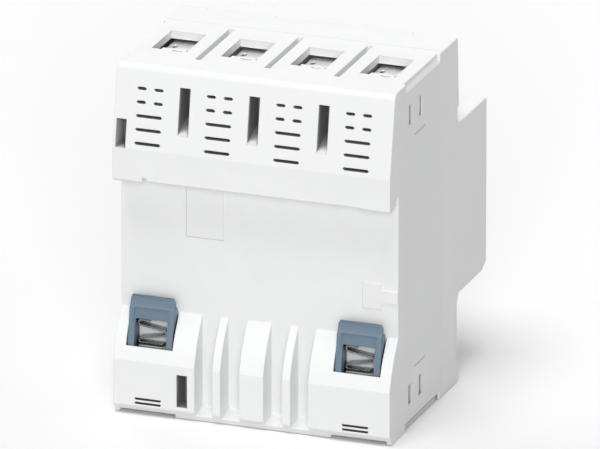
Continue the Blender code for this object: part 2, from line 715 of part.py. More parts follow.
def cut_openings(base):
    """Conductor entries above and below, and slots in the shelves for the straps."""
    openings = bmesh.new()
    for index in range(POLES):
        sides = (pole_x(index) - ENTRY_WIDTH / 2, pole_x(index) + ENTRY_WIDTH / 2)
        strap = (pole_x(index) - STRAP_WIDTH / 2 - FIT, pole_x(index) + STRAP_WIDTH / 2 + FIT)
        depths = (STRAP_DEPTH - FIT, STRAP_DEPTH + STRAP_THICKNESS + FIT)
        shelf = (WALL + CHAMBER_HEIGHT - OVERCUT, WALL + CHAMBER_HEIGHT + SHELF + OVERCUT)
        for low, high in (shelf, (HEIGHT - shelf[1], HEIGHT - shelf[0])):
            add_box(openings, strap, depths, (low, high))
        for low, high in ((-OVERCUT, WALL + OVERCUT), (HEIGHT - WALL - OVERCUT, HEIGHT + OVERCUT)):
            add_box(openings, sides, (ENTRY_NEAR, ENTRY_FAR), (low, high))
    boolean(base, openings, "DIFFERENCE", "cut_entries")


def add_entry_tabs(base):
    """Tab on the rear edge of each upper entry, with a thin curved scoop behind it."""
    tabs = bmesh.new()
    scoops = bmesh.new()
    for index in range(POLES):
        middle = pole_x(index)
        add_box(tabs, (middle - TAB_RIGHT, middle + TAB_LEFT),
                (ENTRY_NEAR - OVERCUT, ENTRY_NEAR + TAB_REACH), (HEIGHT - TAB_THICKNESS, HEIGHT))
        half = math.degrees(math.asin(SCOOP_WIDTH / 2 / SCOOP_RADIUS))
        centre = (middle - SCOOP_OFFSET, ENTRY_NEAR - SCOOP_SETBACK + SCOOP_RADIUS)
        outline = arc(centre, SCOOP_RADIUS, 270 - half, 270 + half, 6)
        outline += arc((centre[0], centre[1] + SCOOP_THICKNESS), SCOOP_RADIUS, 270 + half, 270 - half, 6)
        add_prism(scoops, outline, "Z", HEIGHT - SCOOP_DEPTH, HEIGHT + OVERCUT)
    boolean(base, tabs, "UNION", "add_tabs")
    boolean(base, scoops, "DIFFERENCE", "cut_scoops")


def cut_snap_windows(base):
    """Recess inside each side wall for the cover's tongues, with two windows and a line outside."""
    recess = bmesh.new()
    windows = bmesh.new()
    inner = HALF - TONGUE_INSET - TONGUE_THICKNESS - FIT
    for side in (-1, 1):
        for centre in (TONGUE_CENTRE, HEIGHT - TONGUE_CENTRE):
            sides = sorted((side * (inner - OVERCUT), side * (HALF - TONGUE_INSET + FIT)))
            half = TONGUE_HEIGHT / 2 + FIT
            add_box(recess, sides, (LOCK_WINDOW_DEPTH - LOCK_WINDOW, PARTING + OVERCUT),
                    (centre - half, centre + half))
            outside = sorted((side * (HALF - TONGUE_INSET), side * (HALF + OVERCUT)))
            for depth, width in ((LOCK_WINDOW_DEPTH, LOCK_WINDOW), (HOOK_WINDOW_DEPTH, HOOK_WINDOW)):
                add_box(windows, outside, (depth - width / 2, depth + width / 2),
                        (centre - WINDOW_HEIGHT / 2, centre + WINDOW_HEIGHT / 2))
        for height in (TONGUE_LINE_HEIGHT, HEIGHT - TONGUE_LINE_HEIGHT):
            shallow = sorted((side * (HALF - TONGUE_LINE_WIDTH), side * (HALF + OVERCUT)))
            start = HOOK_WINDOW_DEPTH - TONGUE_LINE_LENGTH / 2
            add_box(windows, shallow, (start, start + TONGUE_LINE_LENGTH),
                    (height - TONGUE_LINE_WIDTH / 2, height + TONGUE_LINE_WIDTH / 2))
    boolean(base, recess, "DIFFERENCE", "cut_recess")
    boolean(base, windows, "DIFFERENCE", "cut_windows")


def add_bearings(base):
    """Rib on each side wall with a slot, open to the front, for the carrier's journal."""
    ribs = bmesh.new()
    slots = bmesh.new()
    inner = HALF - WALL
    for side in (-1, 1):
        sides = sorted((side * (inner - BEARING_RIB), side * (inner + WALL / 2)))
        add_box(ribs, sides, (RAIL_SEAT + WALL / 2, PARTING),
                (CENTRE_Z - BEARING_RIB_HEIGHT / 2, CENTRE_Z + BEARING_RIB_HEIGHT / 2))
        radius = JOURNAL_RADIUS + RUNNING
        outline = arc((PIVOT_DEPTH, CENTRE_Z), radius, 90, 270, 8)
        outline += [(PARTING + OVERCUT, CENTRE_Z - radius), (PARTING + OVERCUT, CENTRE_Z + radius)]
        cut = sorted((side * (inner - BEARING_RIB - OVERCUT), side * inner))
        add_prism(slots, outline, "X", cut[0], cut[1])
    boolean(base, ribs, "UNION", "add_bearing_ribs")
    boolean(base, slots, "DIFFERENCE", "cut_bearing_slots")


def make_base(material):
    """Rear shell with everything that the rail side shows."""
    mesh = bmesh.new()
    add_prism(mesh, base_outline(), "X", -HALF, HALF)
    base = finish_object("housing_base", mesh, material)
    cut_interior(base)
    cut_ribs(base)
    add_floor_pads(base)
    cut_latch_channels(base)
    cut_vents(base)
    cut_slots(base)
    cut_edges(base)
    cut_openings(base)
    add_entry_tabs(base)
    cut_snap_windows(base)
    add_bearings(base)


def cover_outline():
    """Side section of the front shell with both shoulders and the nose."""
    hollow = SHOULDER - SHOULDER_HOLLOW
    return [(PARTING + SEAM, HEIGHT), (hollow, HEIGHT), (SHOULDER, NOSE_TOP + UPPER_BAND_TOP),
            (SHOULDER, NOSE_TOP + UPPER_BAND_BOTTOM),
            (hollow, NOSE_TOP + UPPER_BAND_BOTTOM - UPPER_BAND_SLOPE), (hollow, NOSE_TOP + SHOULDER_RECESS),
            (SHOULDER + NOSE_ROOT, NOSE_TOP), (NOSE - NOSE_EDGE, NOSE_TOP), (NOSE, NOSE_TOP - NOSE_EDGE),
            (NOSE, NOSE_BOTTOM + NOSE_SLOPE_HEIGHT), (NOSE - NOSE_SLOPE_DEPTH, NOSE_BOTTOM),
            (SHOULDER + NOSE_ROOT, NOSE_BOTTOM), (hollow, NOSE_BOTTOM - SHOULDER_STEP),
            (hollow, LOWER_BAND_TOP), (SHOULDER, LOWER_BAND_BOTTOM), (SHOULDER, SHOULDER_EDGE),
            (hollow, 0.0), (PARTING + SEAM, 0.0)]


def cut_cover_rooms(cover):
    """Hollow the cover: the nose with the middle room, and a chamber for each terminal."""
    start = PARTING - OVERCUT
    inner = HALF - WALL
    low = WALL + CHAMBER_HEIGHT + SHELF
    middle = bmesh.new()
    outline = [(start, HEIGHT - low), (SHOULDER - WALL, HEIGHT - low), (SHOULDER - WALL, NOSE_TOP - WALL),
               (NOSE - WALL, NOSE_TOP - WALL), (NOSE - WALL, NOSE_BOTTOM + WALL + NOSE_SLOPE_HEIGHT),
               (NOSE - WALL - NOSE_SLOPE_DEPTH, NOSE_BOTTOM + WALL), (SHOULDER - WALL, NOSE_BOTTOM + WALL),
               (SHOULDER - WALL, low), (start, low)]
    add_prism(middle, outline, "X", -inner, inner)
    for index in range(POLES):
        sides = (pole_x(index) - CHAMBER_WIDTH / 2, pole_x(index) + CHAMBER_WIDTH / 2)
        for near, far in ((WALL, WALL + CHAMBER_HEIGHT), (HEIGHT - WALL - CHAMBER_HEIGHT, HEIGHT - WALL)):
            add_box(middle, sides, (start, SHOULDER - WALL), (near, far))
    boolean(cover, middle, "DIFFERENCE", "cut_cover_rooms")


def cut_cover_holes(cover):
    """Screwdriver holes, toggle slot, button hole, indicator window and marker notches."""
    holes = bmesh.new()
    for index in range(POLES):
        for height in (TERMINAL_Z, HEIGHT - TERMINAL_Z):
            ring = circle((pole_x(index), height), SCREW_HOLE_RADIUS)
            add_prism(holes, ring, "Y", SHOULDER - WALL - OVERCUT, SHOULDER + OVERCUT)
        notch = (pole_x(index) - MARKER_NOTCH_WIDTH / 2, pole_x(index) + MARKER_NOTCH_WIDTH / 2)
        add_box(holes, notch, (SHOULDER - MARKER_NOTCH_DEPTH, SHOULDER + OVERCUT),
                (HEIGHT - MARKER_NOTCH_HEIGHT, HEIGHT + OVERCUT))
    front = (NOSE - WALL - OVERCUT, NOSE + OVERCUT)
    half_width = DRUM_WIDTH / 2 + FIT
    swing = (NOSE - TOGGLE_AXIS) * math.tan(TOGGLE_REST) + LEVER_ROOT / 2 / math.cos(TOGGLE_REST) + FIT
    add_box(holes, (TOGGLE_X - half_width, TOGGLE_X + half_width), front,
            (CENTRE_Z - swing, CENTRE_Z + swing))
    add_prism(holes, circle((BUTTON_X, CENTRE_Z), BUTTON_RADIUS + FIT), "Y", front[0], front[1])
    window = (INDICATOR_X - INDICATOR_WIDTH / 2, INDICATOR_X + INDICATOR_WIDTH / 2)
    add_box(holes, window, front, (CENTRE_Z - INDICATOR_HEIGHT / 2, CENTRE_Z + INDICATOR_HEIGHT / 2))
    boolean(cover, holes, "DIFFERENCE", "cut_cover_holes")


def add_cover_ribs(cover):
    """Snap tongues with hooks, retaining fingers, frame ribs and the spring shelf."""
    ribs = bmesh.new()
    outer = HALF - TONGUE_INSET
    root = PARTING + SEAM
    for side in (-1, 1):
        sides = sorted((side * (outer - TONGUE_THICKNESS), side * outer))
        for centre in (TONGUE_CENTRE, HEIGHT - TONGUE_CENTRE):
            half = TONGUE_HEIGHT / 2
            add_box(ribs, sides, (TONGUE_REACH, root + OVERCUT), (centre - half, centre + half))
            hook = sorted((side * (outer - TONGUE_THICKNESS / 2), side * (outer + HOOK_HEIGHT)))
            hook_half = WINDOW_HEIGHT / 2 - FIT
            add_box(ribs, hook, (HOOK_WINDOW_DEPTH - HOOK_LENGTH / 2, HOOK_WINDOW_DEPTH + HOOK_LENGTH / 2),
                    (centre - hook_half, centre + hook_half))
        finger = sorted((side * (HALF - WALL - BEARING_RIB + FIT), side * (HALF - WALL - FIT)))
        finger_z = (CENTRE_Z - JOURNAL_RADIUS + FIT, CENTRE_Z + JOURNAL_RADIUS - FIT)
        add_box(ribs, finger, (PIVOT_DEPTH + JOURNAL_RADIUS + FIT, SHOULDER), finger_z)
        finger_root = sorted((side * (HALF - WALL - BEARING_RIB + FIT), side * (HALF - WALL / 2)))
        add_box(ribs, finger_root, (root, SHOULDER), finger_z)
        guide_near = DRUM_WIDTH / 2 + PLATE + GUIDE_OFFSET
        guide = sorted((TOGGLE_X + side * guide_near, TOGGLE_X + side * (guide_near + RIB)))
        add_box(ribs, guide, (FRAME_NEAR + GUIDE_SETBACK, NOSE - WALL / 2),
                (CENTRE_Z - GUIDE_HEIGHT / 2, CENTRE_Z + GUIDE_HEIGHT / 2))
    strip_side = BUTTON_X - TEST_STRIP_WIDTH / 2 - FIT
    add_box(ribs, (strip_side - RIB, strip_side), (test_seat() - RIB, NOSE - WALL / 2),
            (CENTRE_Z - TEST_STRIP_DOWN, CENTRE_Z + TEST_STRIP_UP))
    shelf = (TOGGLE_X - SHELF_WIDTH / 2, TOGGLE_X + SHELF_WIDTH / 2)
    add_box(ribs, shelf, (OPENING_SPRING_DEPTH - OPENING_SPRING_RADIUS - FIT, NOSE - WALL / 2),
            (OPENING_SPRING_FOOT - SPRING_WIRE - FIT - SHELF, OPENING_SPRING_FOOT - SPRING_WIRE - FIT))
    boolean(cover, ribs, "UNION", "add_cover_ribs")


def make_cover(material):
    """Front shell with the operating nose."""
    mesh = bmesh.new()
    add_prism(mesh, cover_outline(), "X", -HALF, HALF)
    cover = finish_object("housing_cover", mesh, material)
    cut_cover_rooms(cover)
    add_cover_ribs(cover)
    cut_cover_holes(cover)


# Rail latches

def make_latch(side, name, material):
    """Sliding latch: hooked nose, window for its spring, ears and a tail in the channel."""
    middle = latch_x(side)
    half = LATCH_WIDTH / 2
    back = RAIL_SEAT - FIT
    mesh = bmesh.new()
    ledge = RAIL_LOW - RAIL_PLAY
    flange = back - LATCH_FLANGE
    root = LATCH_TOP - LATCH_RAMP
    tip = flange - LATCH_TIP
    run = tip - latch_face(root)
    outline = [(back, ledge), (flange, ledge), (flange, LATCH_TOP), (tip, LATCH_TOP)]
    for step in range(1, 5):
        angle = math.radians(step * 90 / 5)
        outline.append((tip - run * (1 - math.cos(angle)), LATCH_TOP - LATCH_RAMP * math.sin(angle)))
    outline += [(latch_face(root), root), (latch_face(OPENING_BOTTOM), OPENING_BOTTOM),
                (LATCH_FACE, LATCH_BOTTOM), (back, LATCH_BOTTOM)]
    add_prism(mesh, outline, "X", middle - half, middle + half)
    latch = finish_object(name, mesh, material)
    ears = bmesh.new()
    ear_face = LATCH_FACE + LATCH_EAR_RECESS
    add_box(ears, (middle - half - LATCH_EAR, middle + half + LATCH_EAR), (ear_face, back),
            (LATCH_EAR_TOP - LATCH_EAR_HEIGHT, LATCH_EAR_TOP))
    boolean(latch, ears, "UNION", name + "_ears")
    window = bmesh.new()
    inner = half - LATCH_SIDE
    add_box(window, (middle - inner, middle + inner), (-OVERCUT, RAIL_SEAT + OVERCUT),
            (LATCH_WINDOW_BOTTOM, LATCH_WINDOW_TOP))
    low = LATCH_WINDOW_TOP - OVERCUT
    panel = [(-OVERCUT, low), (latch_face(low) + LATCH_PANEL, low), (latch_face(root) + LATCH_PANEL, root),
             (-OVERCUT, root)]
    add_prism(window, panel, "X", middle - half + LATCH_PANEL_SIDE, middle + half - LATCH_PANEL_SIDE)
    boolean(latch, window, "DIFFERENCE", name + "_window")


def leaf_outline(middle, low, high, reach):
    """Closed zigzag band as (x, z): strands joined by round hairpins, left and right in turn."""
    radius = (high - low) / (2 * LEAF_STRANDS)
    thick = LEAF_THICKNESS / 2
    run = reach - radius - thick
    centre_line = [(middle - run, low)]
    for strand in range(LEAF_STRANDS):
        height = low + (2 * strand + 1) * radius
        side = 1 if strand % 2 == 0 else -1
        centre_line += arc((middle + side * run, height), radius, -90, -90 + 180 * side, 5)
    centre_line.append((middle, high))
    left, right = [], []
    for index, point in enumerate(centre_line):
        before = Vector(centre_line[max(index - 1, 0)])
        after = Vector(centre_line[min(index + 1, len(centre_line) - 1)])
        along = (after - before).normalized()
        across = Vector((-along.y, along.x)) * thick
        left.append(tuple(Vector(point) + across))
        right.append(tuple(Vector(point) - across))
    return left + right[::-1]


def make_latch_spring(side, name, material):
    """Zigzag leaf between the housing's post and the top of the latch's window."""
    low = LATCH_WINDOW_BOTTOM + FIT + POST_HEIGHT + FIT + LEAF_THICKNESS / 2
    high = LATCH_WINDOW_TOP - FIT - LEAF_THICKNESS / 2
    reach = LATCH_WIDTH / 2 - LATCH_SIDE - FIT
    mesh = bmesh.new()
    start = RAIL_SEAT - FIT - LEAF_WIDTH
    add_prism(mesh, leaf_outline(latch_x(side), low, high, reach), "Y", start, start + LEAF_WIDTH)
    spring = finish_object(name, mesh, material)
    smooth_rounds(spring)
    return spring


# Terminals

def make_terminal_screws(material):
    """One screw for each terminal, its head behind the cover's hole."""
    head = SCREW_HEAD_DEPTH
    tip = STRAP_DEPTH + STRAP_THICKNESS + FIT
    length = head - tip
    first = (pole_x(0), y_of(head), HEIGHT - TERMINAL_Z)
    profile = [(SCREW_RADIUS - SCREW_CHAMFER, -length), (SCREW_RADIUS, SCREW_CHAMFER - length),
               (SCREW_RADIUS, 0.0), (SCREW_HEAD_RADIUS, 0.0),
               (SCREW_HEAD_RADIUS, SCREW_HEAD - SCREW_CHAMFER),
               (SCREW_HEAD_RADIUS - SCREW_CHAMFER, SCREW_HEAD)]
    mesh = bmesh.new()
    add_lathe(mesh, profile, first, "Y", SCREW_SIDES)
    screw = finish_object("terminal_screw_top_1", mesh, material, first)
    smooth_rounds(screw)
    slot = bmesh.new()
    reach = SCREW_HEAD_RADIUS + OVERCUT
    top = head + SCREW_HEAD
    add_box(slot, (first[0] - SCREW_SLOT / 2, first[0] + SCREW_SLOT / 2),
            (top - SCREW_SLOT_DEPTH, top + OVERCUT), (first[2] - reach, first[2] + reach))
    parented_boolean(screw, slot, "DIFFERENCE", "screw_slot", first)
    return screw


def make_clamps(material):
    """Box clamps round the straps; the screw runs in the front wall of each."""
    half = CLAMP_WIDTH / 2
    middle = pole_x(0)
    height = HEIGHT - TERMINAL_Z
    mesh = bmesh.new()
    z_range = (height - CLAMP_HEIGHT / 2, height + CLAMP_HEIGHT / 2)
    add_box(mesh, (middle - half, middle + half), (CLAMP_NEAR, CLAMP_FAR), z_range)
    clamp = finish_object("terminal_clamp_top_1", mesh, material, (middle, y_of(CLAMP_FAR), height))
    tools = bmesh.new()
    inner = half - CLAMP_SIDE
    add_box(tools, (middle - inner, middle + inner), (CLAMP_NEAR + CLAMP_REAR, CLAMP_FAR - CLAMP_FRONT),
            (z_range[0] - OVERCUT, z_range[1] + OVERCUT))
    ring = circle((middle, height), SCREW_RADIUS + RUNNING, SCREW_SIDES)
    add_prism(tools, ring, "Y", CLAMP_FAR - CLAMP_FRONT - OVERCUT, CLAMP_FAR + OVERCUT)
    boolean(clamp, tools, "DIFFERENCE", "cut_clamp")
    return clamp


def apply_modifiers(item):
    """Bake the modifiers of a piece that is to be copied, and drop their tools."""
    tools = [modifier.object for modifier in item.modifiers if modifier.type == "BOOLEAN"]
    graph = bpy.context.evaluated_depsgraph_get()
    baked = bpy.data.meshes.new_from_object(item.evaluated_get(graph))
    item.modifiers.clear()
    item.data = baked
    for tool in tools:
        bpy.data.objects.remove(tool, do_unlink=True)


def repeat_terminals(item, stem):
    """Copy a top terminal piece to all poles, above and below."""
    apply_modifiers(item)
    drop = -(HEIGHT - 2 * TERMINAL_Z)
    for index in range(POLES):
        shift = index * MODULE
        if index:
            copy_object(item, f"{stem}_top_{index + 1}", (shift, 0, 0))
        copy_object(item, f"{stem}_bottom_{index + 1}", (shift, 0, drop))


def add_fixed_contact(mesh, centre_x, depth, height):
    """Round contact that stands out of a strap towards the rear."""
    profile = [(CONTACT_RADIUS, 0.0), (CONTACT_RADIUS, CONTACT_HEIGHT - CONTACT_CROWN),
               (CONTACT_RADIUS - CONTACT_CHAMFER, CONTACT_HEIGHT)]
    turned = [(radius, -along) for radius, along in profile]
    add_lathe(mesh, turned, (centre_x, y_of(depth), height), "Y", 16)


def add_strap_flange(mesh, centre_x, z_range):
    """End of a strap, bent forward across the mouth of its clamp."""
    add_box(mesh, (centre_x - STRAP_WIDTH / 2, centre_x + STRAP_WIDTH / 2),
            (STRAP_DEPTH + STRAP_THICKNESS / 2, STRAP_DEPTH + STRAP_FLANGE), z_range)


def make_line_straps(material):
    """Straight strap from each upper terminal down to its fixed contact."""
    for index in range(POLES):
        middle = pole_x(index)
        mesh = bmesh.new()
        add_box(mesh, (middle - STRAP_WIDTH / 2, middle + STRAP_WIDTH / 2),
                (STRAP_DEPTH, STRAP_DEPTH + STRAP_THICKNESS),
                (CONTACT_Z - CONTACT_RADIUS - CONTACT_MARGIN, HEIGHT - WALL - STRAP_END_GAP))
        strap = finish_object(f"line_strap_{index + 1}", mesh, material)
        contact = bmesh.new()
        add_fixed_contact(contact, middle, STRAP_DEPTH + STRAP_THICKNESS / 2, CONTACT_Z)
        top = HEIGHT - WALL - STRAP_END_GAP
        add_strap_flange(contact, middle, (top - STRAP_THICKNESS, top))
        boolean(strap, contact, "UNION", f"fixed_contact_{index + 1}")


def make_load_straps(material):
    """Strap of each lower terminal, up to the end of its pole wire."""
    for index in range(POLES):
        middle = pole_x(index)
        mesh = bmesh.new()
        add_box(mesh, (middle - STRAP_WIDTH / 2, middle + STRAP_WIDTH / 2),
                (STRAP_DEPTH, STRAP_DEPTH + STRAP_THICKNESS),
                (WALL + STRAP_END_GAP, WALL + CHAMBER_HEIGHT + SHELF + 2 * WIRE_RADIUS + STRAP_OVER_WIRE))
        strap = finish_object(f"load_strap_{index + 1}", mesh, material)
        flange = bmesh.new()
        low = WALL + STRAP_END_GAP
        add_strap_flange(flange, middle, (low, low + STRAP_THICKNESS))
        boolean(strap, flange, "UNION", f"strap_flange_{index + 1}")


# Contacts

def make_carrier(empty, material):
    """Moulded bar across all poles with end journals, arm slots and the forked crank."""
    half = CARRIER_SIZE / 2
    end = HALF - WALL - BEARING_RIB - FIT
    centre = PIVOT_DEPTH
    outline = []
    for corner_d, corner_z in ((1, 1), (-1, 1), (-1, -1), (1, -1)):
        wide = (centre + corner_d * half, CENTRE_Z + corner_z * (half - CARRIER_CHAMFER))
        tall = (centre + corner_d * (half - CARRIER_CHAMFER), CENTRE_Z + corner_z * half)
        outline += [wide, tall] if corner_d * corner_z > 0 else [tall, wide]
    pivot = (0.0, y_of(PIVOT_DEPTH), CENTRE_Z)
    mesh = bmesh.new()
    add_prism(mesh, outline, "X", -end, end)
    carrier = finish_object("contact_carrier", mesh, material, pivot)
    extras = bmesh.new()
    reach = HALF - WALL - FIT
    add_lathe(extras, [(JOURNAL_RADIUS, -reach), (JOURNAL_RADIUS, reach)], pivot, "X", 20)
    low = CRANK_PIN_RADIUS + CRANK_PLAY + TINE
    tip = centre + CRANK_ARM + FORK_TIP
    crank = [(centre, CENTRE_Z - low), (tip, CENTRE_Z - low), (tip, CENTRE_Z + low),
             (centre, CENTRE_Z + low)]
    add_prism(extras, crank, "X", TOGGLE_X - CRANK_ARM_WIDTH / 2, TOGGLE_X + CRANK_ARM_WIDTH / 2)
    parented_boolean(carrier, extras, "UNION", "carrier_extras", pivot)
    cuts = bmesh.new()
    for index in range(POLES):
        sides = (pole_x(index) - ARM_WIDTH / 2 - FIT, pole_x(index) + ARM_WIDTH / 2 + FIT)
        lean_slot(cuts, sides, ARM_THICKNESS / 2 + RUNNING)
    fork = CRANK_PIN_RADIUS + CRANK_PLAY
    add_box(cuts, (TOGGLE_X - CRANK_ARM_WIDTH, TOGGLE_X + CRANK_ARM_WIDTH),
            (centre + CRANK_ARM - FORK_LENGTH / 2, centre + CRANK_ARM + FORK_LENGTH / 2),
            (CENTRE_Z - fork, CENTRE_Z + fork))
    parented_boolean(carrier, cuts, "DIFFERENCE", "carrier_cuts", pivot)
    hang_on(empty, carrier)


def arm_frame():
    """Turn from the crank's level pose to the arms, which stand upright only when closed."""
    pivot = Vector((0.0, y_of(PIVOT_DEPTH), CENTRE_Z))
    turn = Matrix.Rotation(-CARRIER_REST, 4, "X")
    return Matrix.Translation(pivot) @ turn @ Matrix.Translation(-pivot)


def lean_slot(mesh, sides, half_thickness):
    """Through slot for an arm in the carrier, in the arm's leaning plane."""
    faces = add_box(mesh, sides, (PIVOT_DEPTH - half_thickness, PIVOT_DEPTH + half_thickness),
                    (CENTRE_Z - CARRIER_SIZE, CENTRE_Z + CARRIER_SIZE))
    verts = list({vert for face in faces for vert in face.verts})
    bmesh.ops.transform(mesh, matrix=arm_frame(), verts=verts)


def parented_boolean(item, mesh, operation, name, pivot):
    """Boolean whose tool rides with the object, so that it turns with its axis."""
    tool = boolean(item, mesh, operation, name)
    for vert in tool.data.vertices:
        vert.co -= Vector(pivot)
    tool.parent = item


def make_contact_arms(empty, material):
    """Moving contact of each pole, clipped through the carrier."""
    pivot = (0.0, y_of(PIVOT_DEPTH), CENTRE_Z)
    face = STRAP_DEPTH - CONTACT_HEIGHT + STRAP_THICKNESS / 2 - CONTACT_TOUCH
    blade_front = PIVOT_DEPTH + ARM_THICKNESS / 2
    for index in range(POLES):
        middle = pole_x(index)
        mesh = bmesh.new()
        add_box(mesh, (middle - ARM_WIDTH / 2, middle + ARM_WIDTH / 2),
                (PIVOT_DEPTH - ARM_THICKNESS / 2, blade_front),
                (CENTRE_Z - ARM_FOOT, CONTACT_Z + CONTACT_RADIUS + CONTACT_MARGIN))
        arm = finish_object(f"moving_contact_{index + 1}", mesh, material, pivot)
        contact = bmesh.new()
        reach = face - blade_front
        profile = [(CONTACT_RADIUS, ARM_THICKNESS / 2), (CONTACT_RADIUS, CONTACT_CROWN - reach),
                   (CONTACT_RADIUS - CONTACT_CHAMFER, -reach)]
        add_lathe(contact, profile, (middle, y_of(blade_front), CONTACT_Z), "Y", 16)
        parented_boolean(arm, contact, "UNION", f"arm_contact_{index + 1}", pivot)
        apply_modifiers(arm)
        arm.data.transform(Matrix.Rotation(-CARRIER_REST, 4, "X"))
        hang_on(empty, arm)


# Toggle

def make_toggle(empty, material):
    """Handle with a hollowed drum, and the crank pin that drives the carrier's fork."""
    pivot = (TOGGLE_X, y_of(TOGGLE_AXIS), CENTRE_Z)
    half = DRUM_WIDTH / 2
    mesh = bmesh.new()
    add_lathe(mesh, [(DRUM_RADIUS, -half), (DRUM_RADIUS, half)], pivot, "X", 32)
    toggle = finish_object("toggle_handle", mesh, material, pivot)
    tip = TOGGLE_AXIS + LEVER_REACH
    lever = bmesh.new()
    outline = [(TOGGLE_AXIS, CENTRE_Z - LEVER_ROOT / 2), (tip, CENTRE_Z - LEVER_TIP / 2),
               (tip, CENTRE_Z + LEVER_TIP / 2), (TOGGLE_AXIS, CENTRE_Z + LEVER_ROOT / 2)]
    add_prism(lever, outline, "X", TOGGLE_X - half + DRUM_RIM, TOGGLE_X + half - DRUM_RIM)
    parented_boolean(toggle, lever, "UNION", "toggle_lever", pivot)
    pocket = bmesh.new()
    slot = CRANK_ARM_WIDTH / 2 + 2 * FIT
    add_box(pocket, (TOGGLE_X - slot, TOGGLE_X + slot),
            (TOGGLE_AXIS - DRUM_RADIUS - OVERCUT, TOGGLE_AXIS - DRUM_POCKET),
            (CENTRE_Z - DRUM_RADIUS - OVERCUT, CENTRE_Z + DRUM_RADIUS + OVERCUT))
    bore = TOGGLE_SHAFT_RADIUS + RUNNING
    add_lathe(pocket, [(bore, -half - OVERCUT), (bore, half + OVERCUT)], pivot, "X", 20)
    parented_boolean(toggle, pocket, "DIFFERENCE", "toggle_pocket", pivot)
    pin = bmesh.new()
    pin_centre = (TOGGLE_X, y_of(TOGGLE_AXIS - CRANK_RADIUS), CENTRE_Z)
    grip = slot + CRANK_PIN_GRIP
    add_lathe(pin, [(CRANK_PIN_RADIUS, -grip), (CRANK_PIN_RADIUS, grip)], pin_centre, "X", 16)
    parented_boolean(toggle, pin, "UNION", "crank_pin", pivot)
    smooth_rounds(toggle)
    hang_on(empty, toggle)


def make_frame(steel):
    """U-shaped steel frame that holds the toggle's shaft, and the shaft itself."""
    inner = DRUM_WIDTH / 2 + PLATE_GAP
    outer = inner + PLATE
    low = CENTRE_Z - PLATE_HEIGHT / 2
    high = CENTRE_Z + PLATE_HEIGHT / 2
    mesh = bmesh.new()
    outline = [(TOGGLE_X - outer, FRAME_NEAR), (TOGGLE_X + outer, FRAME_NEAR),
               (TOGGLE_X + outer, FRAME_FAR), (TOGGLE_X + inner, FRAME_FAR),
               (TOGGLE_X + inner, FRAME_NEAR + PLATE),
               (TOGGLE_X - inner, FRAME_NEAR + PLATE), (TOGGLE_X - inner, FRAME_FAR),
               (TOGGLE_X - outer, FRAME_FAR)]
    add_prism(mesh, outline, "Z", low, high)
    frame = finish_object("mechanism_frame", mesh, steel)
    cuts = bmesh.new()
    pivot = (TOGGLE_X, y_of(TOGGLE_AXIS), CENTRE_Z)
    bore = TOGGLE_SHAFT_RADIUS + RUNNING
    add_lathe(cuts, [(bore, -outer - OVERCUT), (bore, outer + OVERCUT)], pivot, "X", 20)
    window = CRANK_ARM_WIDTH / 2 + PLATE_WINDOW_MARGIN
    add_box(cuts, (TOGGLE_X - window, TOGGLE_X + window),
            (FRAME_NEAR - OVERCUT, FRAME_NEAR + PLATE + OVERCUT), (low + PLATE, high - PLATE))
    boolean(frame, cuts, "DIFFERENCE", "cut_frame")
    shaft = bmesh.new()
    add_lathe(shaft, [(TOGGLE_SHAFT_RADIUS, -outer), (TOGGLE_SHAFT_RADIUS, outer)], pivot, "X", 20)
    smooth_rounds(finish_object("toggle_shaft", shaft, steel, pivot))


def make_coil(name, start, end, radius, turns, material, axis):
    """Round wire spring between two depths or heights, with closed ends of its tube."""
    points = []
    steps = turns * 12
    for step in range(steps + 1):
        share = step / steps
        angle = 2 * math.pi * turns * share
        across = radius * math.cos(angle)
        around = radius * math.sin(angle)
        along = start[2] + (end[2] - start[2]) * share
        if axis == "Y":
            along = start[1] + (end[1] - start[1]) * share
            points.append((start[0] + across, along, start[2] + around))
        else:
            points.append((start[0] + across, start[1] + around, along))
    return make_tube(name, points, SPRING_WIRE, material, 1)


def make_tube(name, points, radius, material, resolution=2):
    """Round tube along points, as a filled curve."""
    curve = bpy.data.curves.new(name, "CURVE")
    curve.dimensions = "3D"
    spline = curve.splines.new("POLY")
    spline.points.add(len(points) - 1)
    for item, point in zip(spline.points, points):
        item.co = (*point, 1.0)
    curve.bevel_depth = radius
    curve.bevel_resolution = resolution
    curve.use_fill_caps = True
    curve.materials.append(material)
    tube = bpy.data.objects.new(name, curve)
    bpy.context.collection.objects.link(tube)
    return tube


def make_opening_spring(material):
    """Coil that lifts the crank and so opens the contacts."""
    lift = (OPENING_SPRING_DEPTH - PIVOT_DEPTH) * math.sin(CARRIER_REST)
    under = CENTRE_Z + lift - (CRANK_PIN_RADIUS + CRANK_PLAY + TINE) - SPRING_WIRE - 2 * FIT
    y = y_of(OPENING_SPRING_DEPTH)
    make_coil("opening_spring", (TOGGLE_X, y, OPENING_SPRING_FOOT), (TOGGLE_X, y, under),
              OPENING_SPRING_RADIUS, OPENING_SPRING_TURNS, material, "Z")


# Test button and indicator

